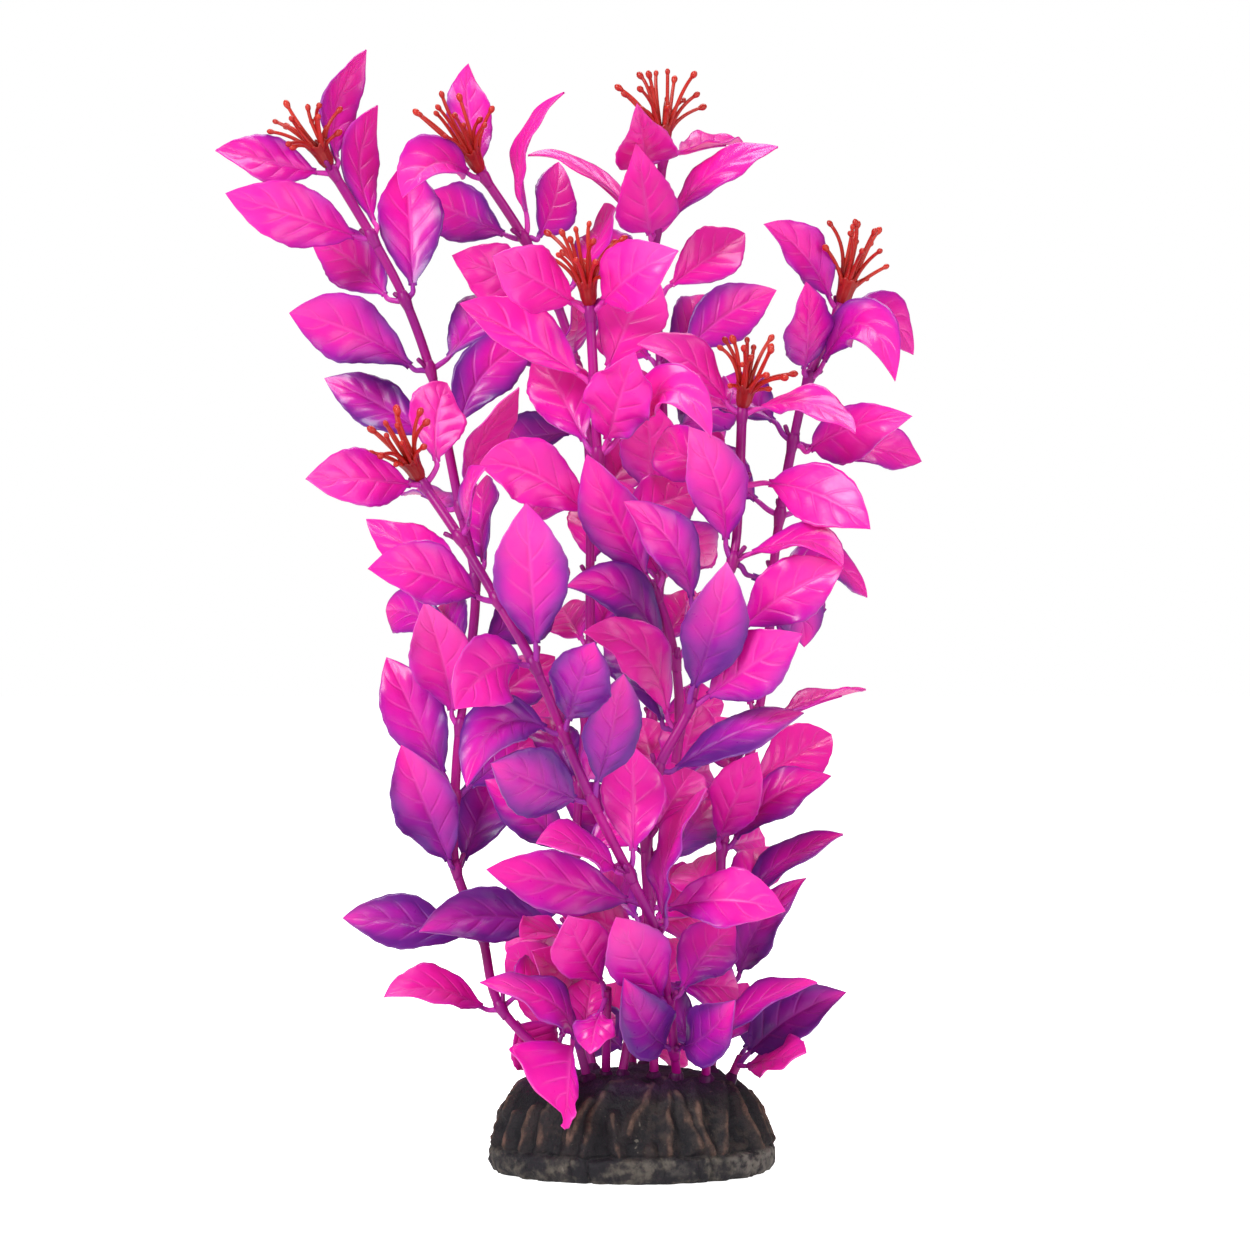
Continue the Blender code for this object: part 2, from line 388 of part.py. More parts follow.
# Half width of a blade along its length. A leaf's k over 1 is fuller to the tip, under 1 to the base.
OUTLINE = ((0, 0.13), (0.04, 0.27), (0.10, 0.45), (0.18, 0.62), (0.28, 0.81), (0.37, 0.94), (0.46, 1), (0.56, 0.97),
           (0.67, 0.85), (0.78, 0.64), (0.88, 0.385), (0.95, 0.17), (1, 0))


def outline(s):
    """The outline's share of the full half width at s, on a smooth curve through its points."""
    s = min(max(s, 0.), 1.)
    k = 0
    while k < len(OUTLINE) - 2 and OUTLINE[k + 1][0] < s:
        k += 1
    (x1, y1), (x2, y2) = OUTLINE[k], OUTLINE[k + 1]
    x0, y0 = OUTLINE[k - 1] if k else (x1, y1)
    x3, y3 = OUTLINE[k + 2] if k + 2 < len(OUTLINE) else (x2, y2)
    span = x2 - x1
    m1 = (y2 - y0) / (x2 - x0) * span
    m2 = (y3 - y1) / (x3 - x1) * span
    t = (s - x1) / span
    return max(0., (2 * t ** 3 - 3 * t * t + 1) * y1 + (t ** 3 - 2 * t * t + t) * m1
               + (3 * t * t - 2 * t ** 3) * y2 + (t ** 3 - t * t) * m2)



def whorl_of(key):
    return key[0], int(key[1:]) - 1


def all_leaves():
    """The leaves of the table, then a pair by rule at each whorl that has none, each
    pair a quarter turn on from the last."""
    found, seen = [], {}
    for key, tip, lean, more in LEAVES:
        whorl = whorl_of(key)
        n = seen[whorl] = seen.get(whorl, 0) + 1
        found.append(Leaf(f"{key}_{n}", whorl, tip, lean, **more))
    for stem, path in STEMS.items():
        for index in range(len(path) - 1):
            for turn, more in FILLERS.get((stem, index + 1), FILL if (stem, index) not in seen else ()):
                points = PATHS[stem]
                hub = points[index]
                up = (points[max(index - 1, 0)] - points[min(index + 1, len(points) - 1)]).normalized()
                out = Vector((math.cos(turn + index * 1.25), math.sin(turn + index * 1.25), 0))
                out = (out - up * out.dot(up)).normalized()
                aim = (out * 0.80 + up * 0.60).normalized()
                base = hub + aim * HUB_R * 1.15
                tip = hub + aim * (BLADE_L * more.get("l", 0.92))
                n = seen[(stem, index)] = seen.get((stem, index), 0) + 1
                found.append(Leaf(f"{stem}{index + 1}_{n}", (stem, index), on_sheet(tip), 0.0, on_sheet(base),
                                  roll=more.get("roll", 18.), w=15.5, p=more.get("p", 0.5),
                                  depth=tip.y - base.y, bend=2.0))
    return found


FILL = ((0.3, dict(p=0.25)), (0.3 + math.pi, dict(p=0.7)))
FILLERS = {("d", 11): (), ("c", 13): ((-0.86, dict(p=0.2)),)}


# ------------------------------------------------- how the leaves spring clear
PROBE_ROWS = (0.14, 0.3, 0.48, 0.66, 0.84, 1.0)
PROBE_HALF = 0.00090      # half the thickness of a blade, and the clearance it keeps


def slab(leaf, rows, half, shrink=0., cols=(-1, 0, 1)):
    """Vertices and faces of the leaf as a closed slab of that half thickness."""
    grid, normals = leaf.surface(rows, cols, shrink=shrink)
    n, m = len(rows), len(cols)
    front = [p + nm * half for row, nm in zip(grid, normals) for p in row]
    back = [p - nm * half for row, nm in zip(grid, normals) for p in row]
    k = n * m
    faces = []
    for i in range(n - 1):
        for j in range(m - 1):
            a = i * m + j
            faces.append((a, a + 1, a + m + 1, a + m))
            faces.append((k + a, k + a + m, k + a + m + 1, k + a + 1))
        for j, flip in ((0, False), (m - 1, True)):
            a = i * m + j
            faces.append((a, a + m, k + a + m, k + a) if not flip else (a, k + a, k + a + m, a + m))
    for i in (0, n - 1):
        for j in range(m - 1):
            a = i * m + j
            faces.append((a, k + a, k + a + 1, a + 1))
    return front + back, faces


def tube(path, radius, sides=6):
    """Vertices and faces of an open tube along the path."""
    verts, faces = [], []
    for i, p in enumerate(path):
        along = (path[min(i + 1, len(path) - 1)] - path[max(i - 1, 0)]).normalized()
        x = along.cross(Vector((0.1, 1, 0.2))).normalized()
        y = along.cross(x).normalized()
        for k in range(sides):
            a = 2 * math.pi * k / sides
            verts.append(p + (x * math.cos(a) + y * math.sin(a)) * radius)
        if i:
            for k in range(sides):
                k2 = (k + 1) % sides
                o = (i - 1) * sides
                faces.append((o + k, o + k2, o + sides + k2, o + sides + k))
    return verts, faces


def settle(leaves, obstacles, rounds=70, say=None):
    """Leaves that meet give way, one nearer the eye and one further, and keep their
    outline on the sheet. obstacles are (tree, box, own stem or None, y at a height)."""
    trees, boxes, samples = {}, {}, {}

    def refresh(i):
        verts, faces = slab(leaves[i], PROBE_ROWS, PROBE_HALF)
        trees[i] = BVHTree.FromPolygons(verts, faces)
        co = np.array(verts)
        boxes[i] = (co.min(0), co.max(0))
        b, c, t = leaves[i].midrib()
        samples[i] = np.array([bezier(b, c, t, r) for r in np.linspace(0, 1, 9)])

    def near(i, at_point):
        """Mean depth of a leaf near a point on the sheet, and how far along it that is."""
        d = samples[i][:, [0, 2]] - at_point[[0, 2]]
        w = np.exp(-(d ** 2).sum(1) / 0.006 ** 2) + 1e-9
        w /= w.sum()
        return float((samples[i][:, 1] * w).sum()), float((np.linspace(0, 1, 9) * w).sum())

    for i in range(len(leaves)):
        refresh(i)
    order = {}
    left = None
    for turn in range(rounds):
        low = np.array([boxes[i][0] for i in range(len(leaves))])
        high = np.array([boxes[i][1] for i in range(len(leaves))])
        meet = ((low[:, None] <= high[None]) & (low[None] <= high[:, None])).all(2)
        push, left = {}, []
        for i, j in zip(*np.nonzero(np.triu(meet, 1))):
            a, b = leaves[i], leaves[j]
            if a.whorl == b.whorl:
                continue
            hits = trees[i].overlap(trees[j])
            if not hits:
                continue
            left.append((a.name, b.name, len(hits)))
            verts, faces = slab(a, PROBE_ROWS, PROBE_HALF)
            c = np.array([np.mean([verts[k] for k in faces[h[0]]], axis=0) for h in hits]).mean(0)
            ya, ta = near(i, c)
            yb, tb = near(j, c)
            sign = order.setdefault((i, j), 1.0 if ya >= yb else -1.0)
            for n, t, sg, other in ((i, ta, sign, tb), (j, tb, -sign, ta)):
                share = max(t, 0.12) / (max(t, 0.12) + max(other, 0.12))
                p = push.setdefault(n, [0., 0.])
                p[0] += sg * share * max(t, 0.25)
                p[1] += sg * share * 4 * t * (1 - t)
        for tree, (olow, ohigh), own, depth_at in obstacles:
            for i in np.nonzero((low <= ohigh).all(1) & (olow <= high).all(1))[0]:
                leaf = leaves[i]
                if own is not None and own == leaf.whorl[0]:
                    verts, faces = slab(leaf, (0.34, 0.5, 0.7, 0.86, 1.0), PROBE_HALF)
                    mine = BVHTree.FromPolygons(verts, faces)
                    hits = mine.overlap(tree)
                else:
                    hits = trees[i].overlap(tree)
                    if hits:
                        verts, faces = slab(leaf, PROBE_ROWS, PROBE_HALF)
                if not hits:
                    continue
                left.append((leaf.name, own or "fixed", len(hits)))
                c = np.array([np.mean([verts[k] for k in faces[h[0]]], axis=0) for h in hits]).mean(0)
                ya, ta = near(i, c)
                if own is not None and own == leaf.whorl[0]:
                    sign = 1.0 if leaf.start_reach >= 0 else -1.0
                else:
                    sign = order.setdefault((i, id(tree)), 1.0 if ya >= depth_at(c) else -1.0)
                p = push.setdefault(i, [0., 0.])
                p[0] += sign * max(ta, 0.25)
                p[1] += sign * 4 * ta * (1 - ta)
        if say:
            say(turn, left)
        if not left:
            break
        step = 0.0011 if turn < rounds * 0.6 else 0.0006
        for i, (dr, db) in push.items():
            leaf = leaves[i]
            dr, db = max(-2, min(2, dr)), max(-2, min(2, db))
            leaf.reach = max(-leaf.most, min(leaf.most, leaf.reach + dr * step * 1.3))
            leaf.bow = max(-0.007, min(0.007, leaf.bow + db * step * 0.6))
            refresh(i)
    return left


def tree_and_box(verts, faces):
    co = np.array(verts)
    return BVHTree.FromPolygons(verts, faces), (co.min(0), co.max(0))


def path_depth(path):
    def depth_at(c):
        return min(path, key=lambda p: abs(p.z - c[2])).y
    return depth_at


# Each flower: a short cup on the stem's end, and a spread of filaments from it.
def flower_axis(key):
    foot = PATHS[key][0]
    u, v, d = TUFTS[key]
    return foot, at(u, v, d * 0.001)


BASE_RX = 0.0385
BASE_RY = 0.0300
BASE_H = 0.0270
# The mound's side: the share of the full radius at each share of the height.
BASE_SIDE = ((0, 0.972), (0.06, 0.998), (0.22, 1.0), (0.36, 0.962), (0.54, 0.918), (0.68, 0.87), (0.79, 0.81),
             (0.88, 0.73), (0.94, 0.63), (0.98, 0.46), (1, 0))


def side_share(height):
    for (h1, r1), (h2, r2) in zip(BASE_SIDE, BASE_SIDE[1:]):
        if height <= h2:
            return r1 + (r2 - r1) * (height - h1) / (h2 - h1)
    return 0.


def base_outline(angle, height):
    """How far the mound's skin is from its middle, at an angle and a share of its height."""
    rx = BASE_RX * side_share(height)
    ry = rx * BASE_RY / BASE_RX
    return rx * ry / max(math.hypot(ry * math.cos(angle), rx * math.sin(angle)), 1e-9)


def mound_height(x, y):
    """The height of the mound's skin over a point of the floor."""
    r = math.hypot(x / BASE_RX, y / BASE_RY)
    for (h1, r1), (h2, r2) in reversed(list(zip(BASE_SIDE[2:], BASE_SIDE[3:]))):
        if r <= r1:
            return BASE_H * (h1 + (h2 - h1) * (r1 - r) / (r1 - r2))
    return 0.


def foot_down(path, deep):
    """The point in line with a stem's foot, that deep below the mound's skin."""
    run = (path[-1] - path[-2]).normalized()
    p = path[-1].copy()
    while p.z > mound_height(p.x, p.y) - deep:
        p = p + run * 0.0005
    return p


def base_mesh(rings=8, spokes=20, grow=0.):
    verts, faces = [], []
    for i in range(rings):
        h = i / rings
        for k in range(spokes):
            a = 2 * math.pi * k / spokes
            r = base_outline(a, h) + grow
            verts.append(Vector((r * math.cos(a), r * math.sin(a), h * BASE_H)))
    verts.append(Vector((0, 0, BASE_H)))
    for i in range(rings - 1):
        for k in range(spokes):
            k2 = (k + 1) % spokes
            faces.append((i * spokes + k, i * spokes + k2, (i + 1) * spokes + k2, (i + 1) * spokes + k))
    for k in range(spokes):
        faces.append(((rings - 1) * spokes + k, (rings - 1) * spokes + (k + 1) % spokes, rings * spokes))
    return verts, faces


def fixed_things():
    """What the leaves have to clear: stems, flowers and the mound."""
    found = []
    for key, path in PATHS.items():
        verts, faces = tube(path, HUB_R + 0.0006)
        found.append((*tree_and_box(verts, faces), key, path_depth(path)))
    for key in TUFTS:
        foot, head = flower_axis(key)
        out = (head - foot)
        verts, faces = tube([foot + out * 0.1, foot + out * 0.45, foot + out * 1.5], 0.0039, 10)
        for k in range(20, 30):
            verts[k] = foot + out * 1.5 + (verts[k] - foot - out * 1.5) * (SPREAD_R.get(key, USUAL_SPREAD_R) / 0.0036)
        found.append((*tree_and_box(verts, faces), None, path_depth([foot, head])))
    verts, faces = base_mesh(grow=0.0008)
    found.append((*tree_and_box(verts, faces), None, lambda c: 0.0))
    return found


# ---------------------------------------------------------------- driving sizes
CORE_R = 0.00150          # radius of the rod that the tiers are threaded on
SLEEVE_R = 0.00270        # radius of a tier's sleeve, across its corners
BORE_R = 0.00208          # radius of the hole through the sleeve, across its corners
WALL_R = 0.00215          # where a leaf's stalk grows out of the sleeve's wall
SLEEVE_END = 0.0016       # sleeve past its last whorl
LEAF_T = 0.0007           # thickness of a leaf
SOCKET_D = 0.0075         # depth of a stem's socket in the base
SOCKET_GAP = 0.0006       # clearance round a stem in its socket
CUP_R = 0.0024            # radius of a flower's cup
CUP_L = 0.0065            # length of the cup
GAP = 0.0003              # clearance between touching pieces

# How many whorls each tier of leaves takes in, from the top of the stem down.
TIERS = {
    "a": (2, 2, 2, 2, 2, 3), "b": (2, 2, 2, 2, 2, 3), "c": (2, 2, 2, 2, 2, 3),
    "d": (2, 2, 2, 2, 3), "e": (2, 2, 2, 2, 3), "f": (2, 2, 2, 3), "g": (2, 2, 2, 4),
}
CAD_ROWS = (0.36, 0.72)   # where a leaf's section is given along its length


def clear_scene():
    for obj in list(bpy.data.objects):
        bpy.data.objects.remove(obj, do_unlink=True)


def collection(name):
    found = bpy.data.collections.new(name)
    bpy.context.scene.collection.children.link(found)
    return found


def material(name, colour, roughness, metallic=0.0):
    m = bpy.data.materials.new(name)
    m.use_nodes = True
    shader = m.node_tree.nodes["Principled BSDF"]
    shader.inputs["Base Color"].default_value = (*colour, 1)
    shader.inputs["Roughness"].default_value = roughness
    shader.inputs["Metallic"].default_value = metallic
    return m


def new_object(name, mesh, where, finish=None, guide=False):
    obj = bpy.data.objects.new(name, mesh)
    where.objects.link(obj)
    if finish:
        mesh.materials.append(finish)
    if guide:
        obj.hide_render = True
        obj.display_type = "WIRE"
    return obj


def curve_tube(name, path, radius, resolution):
    """A curve object of one POLY spline along the path, with filled caps."""
    data = bpy.data.curves.new(name, "CURVE")
    data.dimensions = "3D"
    data.bevel_depth = radius
    data.bevel_resolution = resolution
    data.use_fill_caps = True
    spline = data.splines.new("POLY")
    spline.points.add(len(path) - 1)
    for point, place in zip(spline.points, path):
        point.co = (*place, 1)
    return bpy.data.objects.new(name, data)


def tube_object(name, path, radius, where, finish=None, resolution=1, guide=False):
    """The same tube as a closed mesh, for a Boolean to work on."""
    curve = curve_tube(name + ".line", path, radius, resolution)
    where.objects.link(curve)
    bpy.context.view_layer.update()
    graph = bpy.context.evaluated_depsgraph_get()
    mesh = bpy.data.meshes.new_from_object(curve.evaluated_get(graph))
    mesh.name = name
    bm = bmesh.new()
    bm.from_mesh(mesh)
    bmesh.ops.remove_doubles(bm, verts=bm.verts, dist=1e-6)
    bmesh.ops.recalc_face_normals(bm, faces=bm.faces)
    bm.to_mesh(mesh)
    bm.free()
    line = curve.data
    bpy.data.objects.remove(curve)
    bpy.data.curves.remove(line)
    mesh.materials.clear()
    mesh.shade_smooth()
    mesh.set_sharp_from_angle(angle=math.radians(50))
    return new_object(name, mesh, where, finish, guide)


def boolean(obj, other, operation):
    m = obj.modifiers.new(operation.lower() + "_" + other.name, "BOOLEAN")
    m.operation = operation
    m.object = other
    m.solver = "EXACT"


def leaf_object(leaf, where, finish):
    """One leaf: an open sheet from the wall of its hub to its tip, made solid."""
    rows = (0.5,) * 2 if leaf.filler else CAD_ROWS
    grid, _ = leaf.surface(rows + (1.0,), (-1, 0, 1))
    path = PATHS[leaf.whorl[0]]
    index = leaf.whorl[1]
    run = (path[max(index - 1, 0)] - path[min(index + 1, len(path) - 1)]).normalized()
    out = leaf.midrib()[0] - leaf.hub
    out = (out - run * out.dot(run)).normalized()
    start = leaf.hub + out * (WALL_R if leaf.whorl[0] in STEMS else 0.0004)
    side = (grid[0][2] - grid[0][0]).normalized() * 0.0009
    verts = [start - side, start + side, *grid[0], grid[1][0], grid[1][2], grid[2][1]]
    faces = [(0, 3, 2), (0, 1, 3), (1, 4, 3), (2, 3, 5), (3, 6, 5), (3, 4, 6), (5, 6, 7)]
    if leaf.filler:
        verts, faces = verts[:5] + verts[7:], faces[:3] + [(2, 3, 5), (3, 4, 5)]
    mesh = bpy.data.meshes.new("leaf_" + leaf.name)
    mesh.from_pydata(verts, [], faces)
    obj = new_object("leaf_" + leaf.name, mesh, where, finish, guide=True)
    solid = obj.modifiers.new("thickness", "SOLIDIFY")
    solid.thickness = LEAF_T
    solid.offset = 0
    return obj


def sleeve_path(path, first, last):
    """Along the stem from just above whorl first to just below whorl last. A bend that
    the bore's clearance takes up is left out."""
    up = (path[first - 1] - path[first] if first else path[0] - path[1]).normalized()
    down = (path[last + 1] - path[last]).normalized()
    line = [path[first] + up * SLEEVE_END, *path[first:last + 1], path[last] + down * SLEEVE_END]
    for end, nxt, far in ((0, 1, 2), (-1, -2, -3)):
        run = (line[nxt] - line[far]).normalized()
        if (line[end] - line[nxt]).normalized().dot(run) > math.cos(math.radians(7)):
            line[end] = line[nxt] + run * SLEEVE_END
            line.pop(nxt)
    return line


def bore_path(path, line, first, last):
    """Through the sleeve and on along the stem, so that a leaf beside it keeps clear."""
    above = [path[first - 1], path[first]] if first else [path[0] + (path[0] - path[1]).normalized() * 0.004, path[0]]
    below = [path[last], path[last + 1]]
    return above + list(path[first + 1:last]) + below


def make_base(where, guides, finish):
    """The mound: a turned profile, squeezed front to back, with a socket for each foot."""
    heights = (0.0, 0.14, 0.38, 0.62, 0.82, 0.95)
    profile = [Vector((0, 0, BASE_H))]
    for h in reversed(heights):
        profile.append(Vector((base_outline(0, h), 0, h * BASE_H)))
    profile.append(Vector((0, 0, 0)))
    mesh = bpy.data.meshes.new("base")
    mesh.from_pydata(profile, [(i, i + 1) for i in range(len(profile) - 1)], [])
    base = new_object("base", mesh, where, finish)
    turn = base.modifiers.new("turn", "SCREW")
    turn.steps = turn.render_steps = 22
    turn.use_merge_vertices = True
    turn.merge_threshold = 0.0001
    turn.use_smooth_shade = True
    base.scale = (1, BASE_RY / BASE_RX, 1)
    for key, path in PATHS.items():
        line = [path[-1] - (path[-1] - path[-2]).normalized() * 0.012, foot_down(path, SOCKET_D)]
        hole = tube_object("socket_" + key, line, CORE_R + SOCKET_GAP, guides, resolution=1, guide=True)
        boolean(base, hole, "DIFFERENCE")
    return base


def make_stems(where, finish):
    for n, (key, row) in enumerate(STEMS.items(), 1):
        path = PATHS[key]
        top = path[0] + (path[0] - path[1]).normalized() * HUB_UP
        line = [top, *path, foot_down(path, SOCKET_D - GAP)]
        stem = curve_tube(f"stem_{n}", line, CORE_R, 1)
        stem.data.materials.append(finish)
        where.objects.link(stem)


def make_tiers(leaves, where, guides, finish):
    for n, key in enumerate(STEMS, 1):
        path = PATHS[key]
        first = 0
        for tier, count in enumerate(TIERS[key], 1):
            last = first + count - 1
            line = sleeve_path(path, first, last)
            obj = tube_object(f"leaves_{n}_{tier}", line, SLEEVE_R, where, finish)
            for leaf in leaves:
                if leaf.whorl[0] == key and first <= leaf.whorl[1] <= last:
                    boolean(obj, leaf_object(leaf, guides, finish), "UNION")
            bore = tube_object(f"bore_{n}_{tier}", bore_path(path, line, first, last), BORE_R, guides, guide=True)
            boolean(obj, bore, "DIFFERENCE")
            first = last + 1


def make_shoots(leaves, where, guides, finish):
    for n, key in enumerate(SHOOTS, 1):
        path = PATHS[key]
        top = path[0] + (path[0] - path[1]).normalized() * 0.002
        line = [top, *path, foot_down(path, SOCKET_D - GAP)]
        obj = tube_object(f"shoot_{n}", line, CORE_R, where, finish)
        for leaf in leaves:
            if leaf.whorl[0] == key:
                boolean(obj, leaf_object(leaf, guides, finish), "UNION")


def make_flowers(where, finish):
    """A cup on each stem's tip, and the space that its filaments spread through."""
    for n, key in enumerate(TUFTS, 1):
        foot, head = flower_axis(key)
        path = PATHS[key]
        start = path[0] + (path[0] - path[1]).normalized() * (HUB_UP + GAP + 0.0014)
        length = (head - start).length * 1.45
        profile = [(0, length), (SPREAD_R.get(key, USUAL_SPREAD_R), length), (CUP_R, CUP_L), (CUP_R * 0.8, 0), (0, 0)]
        mesh = bpy.data.meshes.new(f"flower_{n}")
        mesh.from_pydata([(r, 0, z) for r, z in profile], [(i, i + 1) for i in range(len(profile) - 1)], [])
        flower = new_object(f"flower_{n}", mesh, where, finish)
        turn = flower.modifiers.new("turn", "SCREW")
        turn.steps = turn.render_steps = 8
        turn.use_merge_vertices = True
        turn.merge_threshold = 0.0001
        turn.use_smooth_shade = True
        flower.location = start
        flower.rotation_mode = "QUATERNION"
        flower.rotation_quaternion = (head - start).to_track_quat("Z", "Y")


def main():
    clear_scene()
    plant = collection("ludwigia")
    guides = collection("guides")
    stone = material("cast_base", (0.035, 0.030, 0.026), 0.75)
    rod = material("stem_plastic", (0.62, 0.02, 0.32), 0.35)
    pink = material("leaf_plastic", (0.80, 0.03, 0.42), 0.35)
    red = material("flower_plastic", (0.60, 0.02, 0.02), 0.30)
    leaves = all_leaves()
    settle(leaves, fixed_things())
    make_base(plant, guides, stone)
    make_stems(plant, rod)
    make_tiers(leaves, plant, guides, pink)
    make_shoots(leaves, plant, guides, pink)
    make_flowers(plant, red)


main()
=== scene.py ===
"""The looks of a plastic aquarium ludwigia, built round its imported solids."""
import math

import bpy
import numpy as np
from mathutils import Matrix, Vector, noise
from mathutils.bvhtree import BVHTree


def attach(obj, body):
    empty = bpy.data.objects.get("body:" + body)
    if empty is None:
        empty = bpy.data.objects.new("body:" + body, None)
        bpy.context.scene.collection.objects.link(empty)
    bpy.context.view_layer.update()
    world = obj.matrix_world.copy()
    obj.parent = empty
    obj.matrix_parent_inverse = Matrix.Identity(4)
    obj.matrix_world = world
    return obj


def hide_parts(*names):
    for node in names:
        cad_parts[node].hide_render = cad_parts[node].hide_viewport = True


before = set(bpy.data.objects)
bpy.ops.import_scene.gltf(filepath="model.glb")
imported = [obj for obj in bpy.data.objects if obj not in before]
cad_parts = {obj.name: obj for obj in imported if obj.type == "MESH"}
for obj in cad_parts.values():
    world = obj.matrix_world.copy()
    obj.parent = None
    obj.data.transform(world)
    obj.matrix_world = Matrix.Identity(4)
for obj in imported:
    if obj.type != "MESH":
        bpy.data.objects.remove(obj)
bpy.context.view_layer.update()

# ---------------------------------------------------------------- layout
# The plant is set out on a front elevation: a sheet 1250 units square, seen
# from EYE, where one unit is 0.268 mm at the middle of the base. Depths are
# in millimetres, + away from the eye. The same table drives every leaf.
EYE = Vector((-0.001876, -0.92, 0.1455))
SHEET = 3432.8            # sheet units per unit of (distance / offset)
STEM_R = 0.00165          # stem radius
HUB_R = 0.00215           # radius of the collar at a whorl
HUB_UP = 0.0024           # collar above the whorl's centre
BLADE_W = 0.0178          # usual width of a blade
BLADE_L = 0.0355          # usual length, collar to tip
PETIOLE = 0.0032          # usual length of the bare petiole

# Whorls of each stem from the top down: (u, v, depth mm). The last is the foot.
STEMS = {
    "a": [(333, 172, -3), (372, 237, -2), (405, 300, -1), (430, 369, 0), (446, 438, 1),
          (460, 508, 2), (475, 580, 3), (471, 650, 4), (460, 726, 4), (455, 797, 4),
          (456, 868, 4), (482, 936, 4), (501, 1008, 2), (566, 1074, -3)],
    "b": [(484, 177, 16), (524, 238, 20), (556, 302, 23), (577, 368, 24), (588, 438, 24),
          (590, 508, 23), (590, 578, 22), (590, 648, 21), (586, 718, 19), (580, 788, 17),
          (574, 858, 15), (570, 928, 11), (580, 1000, 7), (592, 1064, 3)],
    "c": [(663, 158, 36), (656, 232, 40), (656, 300, 43), (661, 368, 44), (664, 438, 43),
          (664, 508, 41), (660, 578, 39), (656, 648, 36), (652, 718, 33), (650, 788, 29),
          (648, 858, 25), (646, 928, 21), (645, 998, 17), (645, 1062, 14)],
    "d": [(590, 312, -28), (594, 384, -28), (598, 455, -27), (608, 527, -25), (654, 592, -21),
          (675, 660, -16), (679, 730, -12), (670, 800, -10), (657, 870, -9), (645, 940, -9),
          (634, 1005, -9), (624, 1063, -9)],
    "e": [(839, 310, 5), (809, 378, 6), (793, 442, 7), (780, 515, 8), (773, 574, 9),
          (768, 646, 10), (758, 717, 11), (742, 785, 12), (722, 850, 13), (724, 918, 12),
          (724, 987, 10), (712, 1062, 8)],
    "f": [(742, 414, -24), (739, 485, -27), (733, 560, -30), (706, 628, -33), (690, 706, -35),
          (658, 770, -35), (646, 840, -31), (649, 906, -26), (656, 975, -19), (654, 1063, -12)],
    "g": [(424, 485, -38), (460, 538, -44), (497, 600, -49), (534, 665, -53), (563, 733, -55),
          (592, 801, -53), (628, 872, -46), (657, 935, -36), (668, 1000, -24), (674, 1050, -15),
          (676, 1068, -11)],
}
# Leafy shoots set straight into the base: (u, v, depth) of the whorl and the foot.
SHOOTS = {
    "j": [(607, 996, -21), (606, 1064, -10)],
    "l": [(579, 1046, -15), (585, 1069, -13)],
    "m": [(706, 1058, -12), (706, 1070, -10)],
    "n": [(738, 1063, 0), (732, 1076, 0)],
    "o": [(632, 1052, 24), (633, 1068, 21)],
    "q": [(556, 1046, 21), (566, 1066, 16)],
}
# Flower tufts: the middle of the spread of filaments, on the sheet, and depth.
TUFTS = {
    "a": (305, 124, -8), "b": (455, 122, 8), "c": (661, 96, 35), "d": (583, 252, -34),
    "e": (858, 250, 2), "f": (752, 362, -30), "g": (397, 440, -44),
}
SPREAD_R = {"g": 0.0078}  # radius of the spread of filaments, where it isn't the usual
USUAL_SPREAD_R = 0.0098

